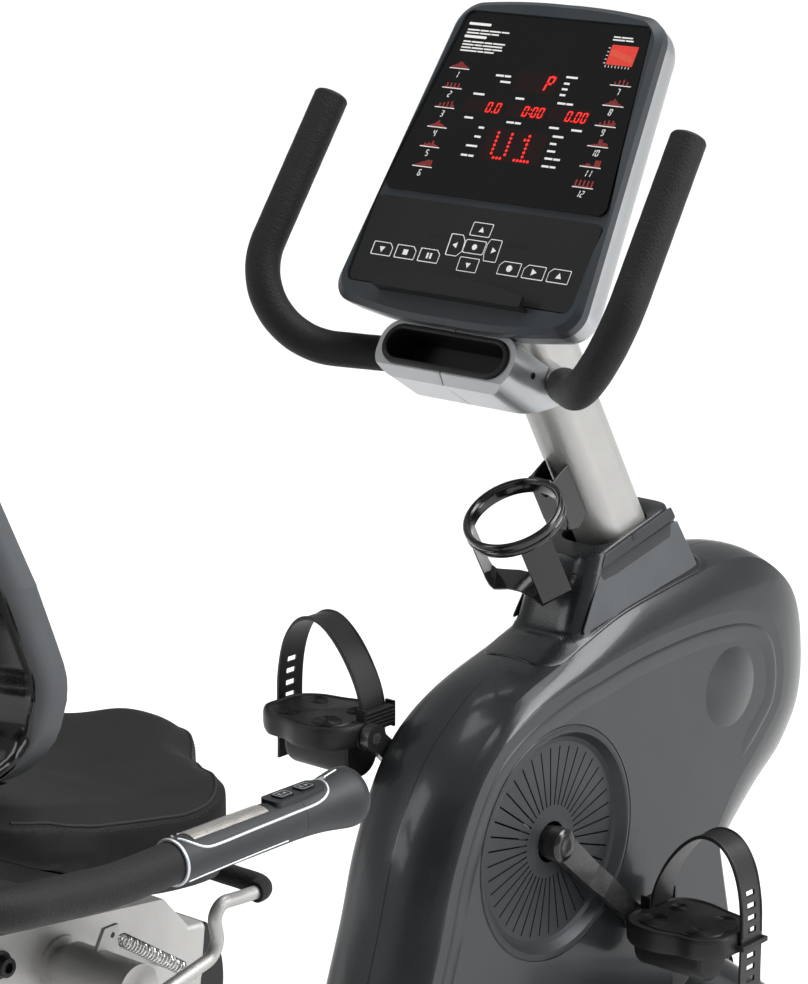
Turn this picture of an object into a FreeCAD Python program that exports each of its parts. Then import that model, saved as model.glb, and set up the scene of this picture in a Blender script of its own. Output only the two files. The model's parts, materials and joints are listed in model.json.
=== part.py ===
import FreeCAD, Part
import math
import os

V = FreeCAD.Vector

# Recumbent exercise bike, in millimetres. X points forward, Y to the rider's left and Z up.
# Shapes are laid out from the centre of the crank axle, and save() moves them so that the
# origin is on the floor, under the middle of the bike.

# ---- driving dimensions ----------------------------------------------------------------------
CRANK_AT = V(344.0, 0.0, 335.0)     # crank axle above the floor and ahead of the bike's middle
CRANK_LENGTH = 170.0
CRANK_ANGLE = -42.3                 # right arm, measured up from straight ahead
ARM_FACE = 73.6                     # outer face of a crank arm, from the middle plane
AXLE_R = 10.0
SPINDLE_R = 6.0
RUNNING = 0.05                      # radial clearance of a shaft in its hole
GAP = 0.3                           # clearance between other touching faces

FLOOR = -CRANK_AT.z
BEAM_Z = (-275.0, -215.0)           # lower and upper face of the base beam
BEAM_HALF = 32.0
STABILISER_X = (265.0, -1120.0)     # front and rear cross tubes
STABILISER_HALF = 290.0
STABILISER_DEPTH = 60.0

SHROUD_BOTTOM = -290.0
SHROUD_WALL = 3.0
SHROUD_HALF = 64.5
CREASE_HALF = 48.0
COVER_R = 121.5
FLYWHEEL_AT = (296.0, 94.0)         # x and z of the flywheel axle
FLYWHEEL_R = 112.0
PULLEY_R = 95.0
FLYWHEEL_PULLEY_R = 24.0
BELT_Y = (34.0, 46.0)

MAST_LEAN = 30.0                    # degrees from vertical, top towards the rider
MAST_THROUGH = (117.0, 369.0)       # x and z of a point on the mast's axis
MAST_DEPTH = 75.0
MAST_WIDTH = 60.0
MAST_CORNER = 25.0
MAST_BOTTOM = 226.0

CONSOLE_TILT = 32.24                # the console's face, degrees from vertical
CONSOLE_AT = V(-86.3, 0.0, 565.4)   # lower middle of the key panel
CUP_AT = V(7.0, 0.0, 328.0)
CUP_R = 52.5

BAR_R = 14.0
BAR_WALL = 2.5
FOAM_R = 17.4
HANDLE_Y = 245.0                    # seat handles from the middle plane
HANDLE_Z = 232.0

RAIL_SLOPE = 7.0                    # the seat rail rises this many degrees to the rear
RAIL_FRONT = V(-500.0, 0.0, 62.0)   # its upper front edge
RAIL_LENGTH = 560.0
RAIL_HALF = 54.0
RAIL_HEIGHT = 70.0
LEVER_AT = (-690.0, 85.0)           # x and z of the seat lever's pivot
LEVER_STUB_R = 18.0
BACK_HALF = 205.0
BACK_LEAN = 24.0


# ---- helpers ---------------------------------------------------------------------------------
def save(name, shape):
    moved = shape.copy()
    moved.translate(CRANK_AT)
    moved.exportStep("parts/" + name + ".step")


def box(x, y, z):
    return Part.makeBox(x[1] - x[0], y[1] - y[0], z[1] - z[0], V(x[0], y[0], z[0]))


def rod(radius, start, end):
    start, end = V(*start), V(*end)
    return Part.makeCylinder(radius, (end - start).Length, start, end - start)


def tube(outer, inner, start, end):
    return rod(outer, start, end).cut(rod(inner, start, end))


def across(radius, x, z, y0, y1):
    return rod(radius, (x, y0, z), (x, y1, z))


def mirrored(shape):
    return shape.mirror(V(0, 0, 0), V(0, 1, 0))


def pair(shape):
    return Part.makeCompound([shape, mirrored(shape)])


def slab(points, y0, y1):
    """A closed outline of straight lines in the XZ plane, pulled across from y0 to y1."""
    corners = [V(x, y0, z) for x, z in points]
    return Part.Face(Part.makePolygon(corners + corners[:1])).extrude(V(0, y1 - y0, 0))


def curve(points):
    spline = Part.BSplineCurve()
    spline.interpolate([V(*p) for p in points])
    return spline.toShape()


def ring_of(points):
    """A closed smooth outline through the points."""
    spline = Part.BSplineCurve()
    spline.interpolate([V(*p) for p in points], PeriodicFlag=True)
    return Part.Wire([spline.toShape()])


def rounded(shape, radius, pick):
    edges = [e for e in shape.Edges if pick(e)]
    return shape.makeFillet(radius, edges) if edges else shape


def runs_along(edge, axis):
    """True for a straight edge along the axis."""
    if not isinstance(edge.Curve, Part.Line):
        return False
    return abs(edge.tangentAt(edge.FirstParameter).dot(axis)) > 0.999


def bent_wire(points, radii):
    """Straight runs through the points, joined by arcs of the given radii."""
    points = [V(*p) for p in points]
    edges, at = [], points[0]
    for before, corner, after, radius in zip(points, points[1:], points[2:], radii):
        back = (before - corner).normalize()
        on = (after - corner).normalize()
        half = math.acos(max(-1.0, min(1.0, back.dot(on)))) / 2.0
        reach = radius / math.tan(half)
        first, last = corner + back * reach, corner + on * reach
        middle = corner + (back + on).normalize() * (radius / math.sin(half) - radius)
        if (first - at).Length > 0.01:
            edges.append(Part.makeLine(at, first))
        edges.append(Part.Arc(first, middle, last).toShape())
        at = last
    edges.append(Part.makeLine(at, points[-1]))
    return Part.Wire(edges)


def sweep(points, radii, radius):
    path = bent_wire(points, radii)
    start, on = V(*points[0]), V(*points[1]) - V(*points[0])
    profile = Part.Wire([Part.makeCircle(radius, start, on)])
    shell = Part.BRepOffsetAPI.MakePipeShell(path)
    shell.setTransitionMode(2)
    shell.add(profile)
    shell.build()
    shell.makeSolid()
    return shell.shape()


def towards(start, end, distance):
    """The point this far from start on the way to end."""
    start, end = V(*start), V(*end)
    return tuple(start + (end - start).normalize() * distance)


def turned(shape, across_axis, angle, about):
    moved = shape.copy()
    moved.rotate(V(*about), V(*across_axis), angle)
    return moved


# ---- base frame ------------------------------------------------------------------------------
def stabiliser(x):
    half = STABILISER_DEPTH / 2.0
    z = (FLOOR + 10.0, BEAM_Z[0])
    bar = box((x - half, x + half), (-STABILISER_HALF + 8, STABILISER_HALF - 8), z)
    bar = rounded(bar, 12.0, lambda e: runs_along(e, V(0, 1, 0)))
    bore = box((x - half + 3, x + half - 3), (-STABILISER_HALF, STABILISER_HALF), (z[0] + 3, z[1] - 3))
    return bar.cut(rounded(bore, 9.0, lambda e: runs_along(e, V(0, 1, 0))))


def foot_cap(x):
    """A plastic end cap with the rubber foot moulded under it."""
    half = STABILISER_DEPTH / 2.0
    y = STABILISER_HALF
    cap = box((x - half - 2, x + half + 2), (y - 42, y), (FLOOR, BEAM_Z[0] + 2))
    cap = rounded(cap, 10.0, lambda e: runs_along(e, V(0, 0, 1)) and e.CenterOfMass.y > y - 5)
    socket = box((x - half, x + half), (y - 60, y - 8), (FLOOR + 10, BEAM_Z[0]))
    return cap.cut(socket)


WHEEL_R = 27.0
WHEEL_Y = (222.0, 240.0)
WHEEL_AT = (324.0, FLOOR + WHEEL_R + 5.0)


def wheel_fork():
    """Two ears on the front cross tube with the wheel's axle between them."""
    x0 = STABILISER_X[0] + STABILISER_DEPTH / 2.0
    x, z = WHEEL_AT
    ears = []
    for y in (WHEEL_Y[0] - 6, WHEEL_Y[1] + 2):
        ear = box((x0 - 1, x), (y, y + 4), (z - 8, z + 8))
        ears.append(ear.fuse(across(8, x, z, y, y + 4)))
    return ears[0].fuse(ears[1]).fuse(across(5, x, z, WHEEL_Y[0] - 6, WHEEL_Y[1] + 6))


def transport_wheel():
    x, z = WHEEL_AT
    y0, y1 = WHEEL_Y
    wheel = across(WHEEL_R, x, z, y0, y1).cut(across(5 + RUNNING, x, z, y0, y1))
    return wheel.makeFillet(2.5, [e for e in wheel.Edges if e.Length > 100])


def front_cover():
    """Moulded cover over each half of the front cross tube, lower towards its end."""
    x = STABILISER_X[0]

    def section(y, top, reach, grow=0.0):
        low, high = FLOOR + 14.0 - grow, top - grow
        left, right = x - reach + grow, x + reach - grow
        arch = Part.Arc(V(left, y, low + 30), V(x, y, high), V(right, y, low + 30)).toShape()
        sides = [Part.makeLine(V(right, y, low + 30), V(right, y, low)),
                 Part.makeLine(V(right, y, low), V(left, y, low)),
                 Part.makeLine(V(left, y, low), V(left, y, low + 30))]
        return Part.Wire([arch] + sides)

    inner_y, outer_y = SHROUD_HALF + 2.0, STABILISER_HALF - 51.0
    outer = Part.makeLoft([section(inner_y, -205, 58), section(outer_y, -252, 42)], True)
    inner = Part.makeLoft([section(inner_y - 4, -205, 58, 3), section(outer_y - 3, -252, 42, 3)], True)
    cover = outer.cut(inner)
    wheel_room = across(WHEEL_R + 3, *WHEEL_AT, WHEEL_Y[0] - 8, WHEEL_Y[1] + 8)
    fork_room = box((x + 28, x + 80), (WHEEL_Y[0] - 8, WHEEL_Y[1] + 8), (FLOOR, WHEEL_AT[1] + 10))
    half = STABILISER_DEPTH / 2.0 + GAP
    bar_room = box((x - half, x + half), (inner_y - 1, outer_y + 1), (FLOOR, BEAM_Z[0] + GAP))
    return cover.cut(wheel_room).cut(fork_room).cut(bar_room)


def base_beam():
    x = (STABILISER_X[1] - 26.0, STABILISER_X[0] + 28.0)
    beam = box(x, (-BEAM_HALF, BEAM_HALF), BEAM_Z)
    beam = rounded(beam, 6.0, lambda e: runs_along(e, V(1, 0, 0)))
    bore = box((x[0] + 3, x[1] - 3), (-BEAM_HALF + 3, BEAM_HALF - 3), (BEAM_Z[0] + 3, BEAM_Z[1] - 3))
    return beam.cut(bore)


def rail_top(x):
    """Height of the rail's upper face at this x."""
    return RAIL_FRONT.z + (RAIL_FRONT.x - x) * math.tan(math.radians(RAIL_SLOPE))


def rail_low(x):
    return rail_top(x) - RAIL_HEIGHT / math.cos(math.radians(RAIL_SLOPE))


def rear_upright():
    foot, head = (-1010.0, -790.0), (-930.0, -640.0)
    outer = [(foot[0], BEAM_Z[1]), (foot[1], BEAM_Z[1]), (head[1], rail_low(head[1])),
             (head[0], rail_low(head[0]))]
    inner = [(foot[0] + 5, BEAM_Z[1] - 1), (foot[1] - 5, BEAM_Z[1] - 1), (head[1] - 6, rail_low(head[1]) + 1),
             (head[0] + 6, rail_low(head[0]) + 1)]
    return slab(outer, -30, 30).cut(slab(inner, -27, 27))


def on_rail(shape):
    """Turns a shape laid out level with the rail's front onto the slope."""
    return turned(shape, (0, 1, 0), RAIL_SLOPE, RAIL_FRONT)


def seat_rail():
    x = (RAIL_FRONT.x - RAIL_LENGTH, RAIL_FRONT.x)
    z = (RAIL_FRONT.z - RAIL_HEIGHT, RAIL_FRONT.z)
    rail = box(x, (-RAIL_HALF, RAIL_HALF), z)
    rail = rounded(rail, 5.0, lambda e: runs_along(e, V(1, 0, 0)))
    return on_rail(rail.cut(box(x, (-RAIL_HALF + 4, RAIL_HALF - 4), (z[0] + 4, z[1] - 4))))


def rail_caps():
    """Front cap with a bulging face and flat rear cap, each with a plug inside the rail."""
    low, high = RAIL_FRONT.z - RAIL_HEIGHT, RAIL_FRONT.z
    front, rear = RAIL_FRONT.x, RAIL_FRONT.x - RAIL_LENGTH
    face = Part.Arc(V(front + 2, -RAIL_HALF, high), V(front + 22, -RAIL_HALF, (low + high) / 2 + 8),
                    V(front + 30, -RAIL_HALF, low)).toShape()
    lines = [Part.makeLine(V(front + 30, -RAIL_HALF, low), V(front, -RAIL_HALF, low)),
             Part.makeLine(V(front, -RAIL_HALF, low), V(front, -RAIL_HALF, high)),
             Part.makeLine(V(front, -RAIL_HALF, high), V(front + 2, -RAIL_HALF, high))]
    nose = Part.Face(Part.Wire([face] + lines)).extrude(V(0, 2 * RAIL_HALF, 0))
    plug_y, plug_z = (-RAIL_HALF + 4, RAIL_HALF - 4), (low + 4, high - 4)
    nose = nose.fuse(box((front - 15, front), plug_y, plug_z))
    tail = box((rear - 6, rear), (-RAIL_HALF, RAIL_HALF), (low, high))
    tail = tail.fuse(box((rear, rear + 15), plug_y, plug_z))
    return on_rail(Part.makeCompound([nose, tail]))


# ---- shroud ----------------------------------------------------------------------------------
# Rear, top and nose outline of the crease, then of the flat side, from the rear foot to the
# notch behind the pedal; both have the same number of points, so that they blend evenly.
CREASE = [(-262, SHROUD_BOTTOM), (-236, -190), (-209, -105), (-191, -50), (-176, 2), (-160, 43), (-142, 76),
          (-118, 107), (-89, 131), (-46, 157), (20, 178), (60, 190), (121, 208), (189, 218), (259, 226),
          (328, 227), (371, 217), (403, 198), (431, 172), (447, 140), (453, 106), (454, 70), (446, 36),
          (430, 12), (411, -8), (383, -27), (346, -56), (318, -82), (300, -108)]
SIDE = [(-252, SHROUD_BOTTOM), (-226, -190), (-200, -105), (-181, -50), (-167, 0), (-152, 36), (-134, 72),
        (-111, 104), (-84, 126), (-42, 145), (20, 161), (67, 168), (124, 176), (184, 180), (244, 181),
        (300, 177), (333, 170), (361, 158), (381, 140), (391, 120), (396, 98), (396, 75), (390, 52),
        (379, 38), (362, 22), (340, 3), (317, -16), (297, -38), (279, -62)]
CREASE_LEG = [(300, -108), (311, -140), (322, -185), (333, -235), (345, SHROUD_BOTTOM)]
SIDE_LEG = [(279, -62), (292, -120), (306, -180), (318, -235), (331, SHROUD_BOTTOM)]


def inset(points, distance):
    """Moves an outline that runs clockwise inwards by the distance."""
    moved = []
    last = len(points) - 1
    for i, (x, z) in enumerate(points):
        x0, z0 = points[max(i - 1, 0)]
        x1, z1 = points[min(i + 1, last)]
        run = math.hypot(x1 - x0, z1 - z0)
        moved.append((x + (z1 - z0) / run * distance, z - (x1 - x0) / run * distance))
    return moved


def between(first, second, part):
    return [(a[0] + (b[0] - a[0]) * part, a[1] + (b[1] - a[1]) * part) for a, b in zip(first, second)]


def shroud_section(y, part, distance, drop):
    """One closed outline at y: part runs from 0 at the crease to 1 at the flat side."""
    main = inset(between(CREASE, SIDE, part), distance)
    leg = inset(between(CREASE_LEG, SIDE_LEG, part), distance)
    leg[0] = main[-1]
    main[0] = (main[0][0], SHROUD_BOTTOM - drop)
    leg[-1] = (leg[-1][0], SHROUD_BOTTOM - drop)
    edges = [curve([(x, y, z) for x, z in main]), curve([(x, y, z) for x, z in leg])]
    edges.append(Part.makeLine(V(leg[-1][0], y, leg[-1][1]), V(main[0][0], y, main[0][1])))
    return Part.Wire(edges)


def shroud_parts(wall, drop):
    """Half of the shroud's volume: a crowned spine, then a shoulder down to the flat side."""
    spine = [(0.0, -9.0), (24.0, -7.0), (CREASE_HALF, 0.0)]
    spine = Part.makeLoft([shroud_section(y, 0.0, wall + d, drop) for y, d in spine], True, False)
    side = SHROUD_HALF - wall
    shoulder = [(CREASE_HALF, 0.0), (CREASE_HALF + 0.55 * (side - CREASE_HALF), 0.36), (side, 1.0)]
    shoulder = Part.makeLoft([shroud_section(y, p, wall, drop) for y, p in shoulder], True, False)
    return spine, shoulder


def shroud_solid(wall, drop):
    spine, shoulder = shroud_parts(wall, drop)
    return spine.fuse(shoulder)


def mast_solid(grow=0.0, low=MAST_BOTTOM, length=700.0):
    """The leaning mast's outside, from the height low upwards."""
    x, z = MAST_THROUGH
    depth, width = MAST_DEPTH + 2 * grow, MAST_WIDTH + 2 * grow
    block = box((x - depth / 2, x + depth / 2), (-width / 2, width / 2), (z - 400, z - 400 + length))
    block = rounded(block, MAST_CORNER + grow, lambda e: runs_along(e, V(0, 0, 1)))
    block = turned(block, (0, 1, 0), -MAST_LEAN, (x, 0, z))
    return block.cut(box((-500, 900), (-200, 200), (-600, low)))


def dome(x, z, radius, height):
    """A shallow round cap standing on the left flat side."""
    sphere_r = (radius ** 2 + height ** 2) / (2 * height)
    ball = Part.makeSphere(sphere_r, V(x, SHROUD_HALF + height - sphere_r, z))
    return ball.common(across(radius, x, z, SHROUD_HALF - 1.0, SHROUD_HALF + height + 1))


def shroud_half(outer):
    half = outer.fuse(dome(*FLYWHEEL_AT, 44.0, 6.0)).cut(shroud_solid(SHROUD_WALL, 8.0))
    half = half.cut(across(COVER_R + GAP, 0, 0, 40, 80))
    half = half.cut(mast_solid(2.0, 150.0))
    half = half.cut(box((-400, -100), (-BEAM_HALF - 2, BEAM_HALF + 2), (SHROUD_BOTTOM - 20, BEAM_Z[1] + 2)))
    x = STABILISER_X[0]
    half = half.cut(box((x - 62, x + 62), (0, 100), (SHROUD_BOTTOM - 20, -200)))
    return half.cut(box((x, x + 100), (-5, BEAM_HALF + 2), (SHROUD_BOTTOM - 20, BEAM_Z[1] + 2)))


def crank_cover():
    """Dished disc with radial slots and a hole for the crank's hub."""
    face = SHROUD_HALF + 1.0
    profile = [(COVER_R, face - 5), (COVER_R, face - 0.8), (COVER_R - 4, face), (COVER_R - 7, face - 0.5),
               (COVER_R - 13, face - 9), (COVER_R - 18, face - 11), (30, face - 10), (21.5, face - 9),
               (21.5, face - 12), (30, face - 13), (COVER_R - 17, face - 14), (COVER_R - 11, face - 12),
               (COVER_R - 6, face - 5)]
    corners = [V(r, y, 0) for r, y in profile]
    disc = Part.Face(Part.makePolygon(corners + corners[:1])).revolve(V(0, 0, 0), V(0, 1, 0), 360)
    slot_count = 40
    slots = []
    for i in range(slot_count):
        slot = box((38, 99), (face - 20, face), (-0.9, 0.9))
        slots.append(turned(slot, (0, 1, 0), 360.0 * i / slot_count, (0, 0, 0)))
    return disc.cut(Part.makeCompound(slots))


# ---- mast, collar and cup holder -------------------------------------------------------------
def console_frame(shape):
    """Places a shape drawn with X to the rider's right, Y up the face and Z out of it."""
    lean = math.radians(CONSOLE_TILT)
    up = V(math.sin(lean), 0, math.cos(lean))
    out = V(-math.cos(lean), 0, math.sin(lean))
    right = V(0, -1, 0)
    matrix = FreeCAD.Matrix(right.x, up.x, out.x, CONSOLE_AT.x, right.y, up.y, out.y, CONSOLE_AT.y,
                            right.z, up.z, out.z, CONSOLE_AT.z, 0, 0, 0, 1)
    moved = shape.copy()
    moved.Placement = FreeCAD.Placement(matrix)
    return moved


def mast(handlebar_room):
    behind_console = console_frame(Part.makeBox(600, 900, 400, V(-300, -500, -53.0)))
    shape = mast_solid().cut(mast_solid(-3.0, MAST_BOTTOM - 30))
    return shape.cut(behind_console).cut(handlebar_room)


def collar_ring(rear, front, half, radius):
    """Rounded rectangle from a rear to a front edge, each given by x and z."""
    rear, front = V(rear[0], 0, rear[1]), V(front[0], 0, front[1])
    on = (front - rear).normalize()
    side = V(0, 1, 0)
    edges = []
    # Each corner: where it is, and the directions of the edges that come in and go out.
    corners = [(rear, -on, side), (front, side, on), (front, on, -side), (rear, -side, -on)]
    arcs = []
    for (at, arrive, leave), y in zip(corners, (half, half, -half, -half)):
        corner = at + side * y
        first, last = corner - arrive * radius, corner + leave * radius
        if at is rear and y > 0:
            first, last = corner - side * radius, corner + on * radius
        elif at is front and y > 0:
            first, last = corner - on * radius, corner - side * radius
        elif at is front:
            first, last = corner + side * radius, corner - on * radius
        else:
            first, last = corner + on * radius, corner + side * radius
        pull = (first + last) * 0.5 - corner
        middle = corner + pull * (2.0 - math.sqrt(2.0))
        arcs.append((first, middle, last))
    for this, following in zip(arcs, arcs[1:] + arcs[:1]):
        edges.append(Part.Arc(*this).toShape())
        edges.append(Part.makeLine(this[2], following[0]))
    return Part.Wire(edges)


def collar(shroud_outer):
    """Cover round the foot of the mast, with a thin apron on the shroud's spine."""
    rings = [collar_ring((52, 150), (270, 178), 46, 20), collar_ring((56, 205), (266, 237), 45, 20),
             collar_ring((77, 256), (232, 290), 41, 20), collar_ring((90, 275), (219, 306), 37.5, 20)]
    upper = Part.makeLoft(rings, True, True)
    spine = shroud_parts(-1.5, 0.0)[0]
    apron = spine.fuse(mirrored(spine)).common(box((5, 290), (-47.8, 47.8), (100, 260)))
    pocket = slab([(70, 120), (76, 236), (104, 262), (206, 284), (236, 236), (244, 120)], -33, 33)
    whole = upper.fuse(apron).cut(pocket)
    whole = whole.cut(mast_solid(1.5, 100.0))
    for part in shroud_outer:
        whole = whole.cut(part).cut(mirrored(part))
    return max(whole.Solids, key=lambda solid: solid.Volume)


def along_mast(shape, about):
    return turned(shape, (0, 1, 0), -MAST_LEAN, about)


def cup_holder():
    """Ring with a looped strap under it, on a channel that holds it to the mast."""
    at = CUP_AT
    x0, z0 = at.x, at.z
    ring = rod(CUP_R, (x0, 0, z0 - 9), (x0, 0, z0 + 7)).cut(rod(CUP_R - 7, (x0, 0, z0 - 9), (x0, 0, z0 + 7)))
    ring = ring.makeFillet(2.5, [e for e in ring.Edges if e.Length > 100])
    strap_x, strap_y = (x0 - 39, x0 - 11), (40.0, 42.6)
    pieces = [box(strap_x, (-strap_y[1], -strap_y[0]), (z0 - 79, z0 - 4)),
              box(strap_x, strap_y, (z0 - 70, z0 - 4)),
              box(strap_x, (-strap_y[1], strap_y[1]), (z0 - 70, z0 - 67))]
    web = x0 + CUP_R - 4.0
    channel = box((web, web + 34), (-15.5, 15.5), (z0 - 62, z0 + 6))
    pieces.append(channel.cut(box((web + 2.5, web + 40), (-13, 13), (z0 - 70, z0 + 10))))
    holder = ring
    for piece in pieces:
        holder = holder.fuse(piece)
    holder = holder.cut(rod(4.4, (web - 10, 0, z0 - 20), (web + 10, 0, z0 - 20)))
    return along_mast(holder, at).cut(mast_solid(0.2))


# ---- console and pod -------------------------------------------------------------------------
def console_outline(z, grow):
    """Rounded trapezium, wider below, with bowed upper and lower edges."""
    low, high = -22.0 - grow, 309.0 + grow
    wide, narrow = 152.0 + grow, 123.0 + grow
    half = [[(0, low - 7), (wide / 2, low - 5), (wide - 26, low + 1)],
            [(wide - 26, low + 1), (wide - 8, low + 9), (wide - 1, low + 28)],
            [(wide - 1, low + 28), (narrow + 5, high - 30)],
            [(narrow + 5, high - 30), (narrow - 4, high - 9), (narrow - 24, high)],
            [(narrow - 24, high), (narrow / 2, high + 3.5), (0, high + 5)]]
    left = [[(-x, y) for x, y in reversed(run)] for run in reversed(half)]
    edges = []
    for run in half + left:
        points = [V(x, y, z) for x, y in run]
        edges.append(Part.Arc(*points).toShape() if len(points) == 3 else Part.makeLine(*points))
    return Part.Wire(edges)


def plate(points, z0, z1):
    corners = [V(x, y, z0) for x, y in points]
    return Part.Face(Part.makePolygon(corners + corners[:1])).extrude(V(0, 0, z1 - z0))


def softened(shape, radius, least):
    return rounded(shape, radius, lambda e: runs_along(e, V(0, 0, 1)) and e.Length >= least)


SCREEN = [(-138, 101), (138, 101), (112, 296), (-112, 296)]
KEYS = [(-139, 1), (139, 1), (140, 93), (-140, 93)]


def console_screen():
    return softened(plate(SCREEN, -2.0, 1.0), 9.0, 2)


def console_keypad():
    return softened(plate(KEYS, -2.0, 0.6), 9.0, 2)


def console_bezel():
    rim = Part.makeLoft([console_outline(-12.0, 0.0), console_outline(-2.0, 0.5)], True)
    rim = rim.fuse(Part.makeLoft([console_outline(-2.0, 0.5), console_outline(3.0, -5.0)], True))
    grow = [(-140, -1), (140, -1), (142, 98), (114, 298), (-114, 298), (-142, 98)]
    return rim.cut(softened(plate(grow, -2.0, 10.0), 10.0, 5))


def console_housing():
    sections = [console_outline(-12.0, -1.5), console_outline(-36.0, -4.0), console_outline(-52.0, -26.0)]
    outer = Part.makeLoft(sections, True)
    sections = [console_outline(-11.0, -5.0), console_outline(-34.0, -8.0), console_outline(-49.0, -30.0)]
    return outer.cut(Part.makeLoft(sections, True)).cut(pod_outer(-0.4))


LEDGE_HALF = 92.0
LEDGE_OUT = 18.0


def console_ledge():
    """Reading ledge: a bowed lip that a short shelf holds off the foot of the panel."""
    h, low, deep = LEDGE_HALF, -6.0, LEDGE_OUT - 4.0
    bow = Part.Arc(V(h, 5, deep), V(0, 13.5, deep), V(-h, 5, deep)).toShape()
    lines = [Part.makeLine(V(-h, 5, deep), V(-h, low, deep)),
             Part.makeLine(V(-h, low, deep), V(h, low, deep)),
             Part.makeLine(V(h, low, deep), V(h, 5, deep))]
    lip = Part.Face(Part.Wire([bow] + lines)).extrude(V(0, 0, LEDGE_OUT - deep))
    shelf = Part.makeBox(2 * h, 3, deep - 3.2, V(-h, low, 3.2))
    return lip.fuse(shelf).removeSplitter()


POD_FACE = -15.0
POD_HALF = 84.0


def stadium(half, low, high, z0, z1):
    r = (high - low) / 2.0
    block = Part.makeBox(2 * (half - r), high - low, z1 - z0, V(-half + r, low, z0))
    for x in (-half + r, half - r):
        block = block.fuse(Part.makeCylinder(r, z1 - z0, V(x, low + r, z0)))
    return block.removeSplitter()


POD_MIDDLE = -51.5
TRAY_HALF, TRAY_R = 72.0, 15.5      # half length and end radius of the pocket


def pocket_solid(grow, low, high):
    half, radius = TRAY_HALF + grow, TRAY_R + grow
    return stadium(half, POD_MIDDLE - radius, POD_MIDDLE + radius, POD_FACE + low, POD_FACE + high)


def pod_tray():
    """Storage pocket with a rim on the pod's face."""
    tray = pocket_solid(5.0, -3, 1.5).fuse(pocket_solid(2.5, -44, -3))
    return tray.cut(pocket_solid(0.0, -41, 5))


def pod_outer(shrink):
    s = shrink
    corner = V(-POD_HALF + s, -82 + s, POD_FACE - 92 + s)
    block = Part.makeBox(2 * (POD_HALF - s), 56 - 2 * s, 92 - 2 * s, corner)
    block = rounded(block, 24.0 - s, lambda e: runs_along(e, V(0, 0, 1)))
    side = [(-82 + s, POD_FACE - 60), (-82 + s, POD_FACE - 12), (-74 + s, POD_FACE - s), (-20, POD_FACE - s),
            (-20, POD_FACE - 95 + s), (-52 + s, POD_FACE - 95 + s)]
    corners = [V(-120, y, z) for y, z in side]
    return block.common(Part.Face(Part.makePolygon(corners + corners[:1])).extrude(V(240, 0, 0)))


def pod_half(sign, stub_room):
    shell = pod_outer(0).cut(pod_outer(3.0)).cut(pocket_solid(2.7, -60, 5))
    shell = shell.cut(pocket_solid(5.2, -3, 5))
    keep = Part.makeBox(120, 200, 200, V(0.1 if sign > 0 else -120.1, -150, -150))
    shell = console_frame(shell.common(keep))
    return shell.cut(stub_room)


# ---- handlebar -------------------------------------------------------------------------------
BAR_IN, BAR_FOAM = (45.5, 0.0, 472.4), (-57.0, 110.0, 489.0)
BAR_CORNER, BAR_TOP = (-167.0, 228.0, 507.0), (-17.3, 221.0, 729.4)
BAR_BEND = 80.0


def handlebar_half(radius, start=BAR_IN, end=BAR_TOP):
    return sweep([start, BAR_CORNER, end], [BAR_BEND], radius)


def handlebar():
    half = handlebar_half(BAR_R).cut(handlebar_half(BAR_R - BAR_WALL))
    half = half.cut(mast_solid())
    half = half.common(box((-400, 400), (6, 400), (300, 900)))
    return pair(half)


def handlebar_foams():
    end = towards(BAR_TOP, BAR_CORNER, -5.0)
    foam = handlebar_half(FOAM_R, BAR_FOAM, end).cut(handlebar_half(BAR_R))
    foam = foam.makeFillet(4.0, [e for e in foam.Edges if e.CenterOfMass.z > 715 and e.Length > 90])
    return pair(foam)


# ---- drive -----------------------------------------------------------------------------------
POST_Y = (-42.0, 2.0)


def drive_frame():
    """Crank post and flywheel post on the beam, joined by a tie, with the crank's bearing shell."""
    crank_post = box((-26, 26), (-30, 26), (BEAM_Z[1], 0)).cut(box((-23, 23), (-27, 23), (BEAM_Z[1] - 1, 1)))
    shell = across(27, 0, 0, -32, 26)
    post_top = MAST_BOTTOM - 18
    mast_post = box((180, 232), POST_Y, (BEAM_Z[1], post_top))
    mast_post = mast_post.cut(box((183, 229), (POST_Y[0] + 3, POST_Y[1] - 3), (BEAM_Z[1] - 1, post_top - 3)))
    seat = mast_solid(0.0, post_top - 2).cut(box((-500, 900), (-200, 200), (MAST_BOTTOM, 900)))
    tie = box((26, 180), (-25, -5), (-70, -30))
    x, z = FLYWHEEL_AT
    arm = box((232, x + 14), (POST_Y[0], POST_Y[0] + 8), (z - 22, z + 22))
    arm = arm.fuse(box((232, x + 14), (POST_Y[1] - 8, POST_Y[1]), (z - 22, z + 22)))
    frame = crank_post.fuse(shell).fuse(mast_post).fuse(seat).fuse(tie).fuse(arm)
    frame = frame.cut(across(22, 0, 0, -40, 40))
    return frame.cut(across(8, x, z, -60, 60))


def bearings():
    """Two crank bearings in the shell and two in the flywheel's hub."""
    rings = []
    for y in ((-31, -19), (13, 25)):
        ring = across(22, 0, 0, *y).cut(across(AXLE_R + RUNNING, 0, 0, *y))
        rings.append(ring)
    return Part.makeCompound(rings)


def flywheel():
    """Heavy disc with the small belt pulley on its hub."""
    x, z = FLYWHEEL_AT
    disc = across(FLYWHEEL_R, x, z, 8, 30).cut(across(FLYWHEEL_R - 18, x, z, 24, 31))
    hub = across(26, x, z, 6, 33)
    pulley = across(FLYWHEEL_PULLEY_R, x, z, BELT_Y[0] - 1, BELT_Y[1] + 1)
    lip = across(FLYWHEEL_PULLEY_R + 3, x, z, BELT_Y[1] + 1, BELT_Y[1] + 3)
    wheel = disc.fuse(hub).fuse(pulley).fuse(lip)
    return wheel.cut(across(8 + RUNNING, x, z, 0, 60))


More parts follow.
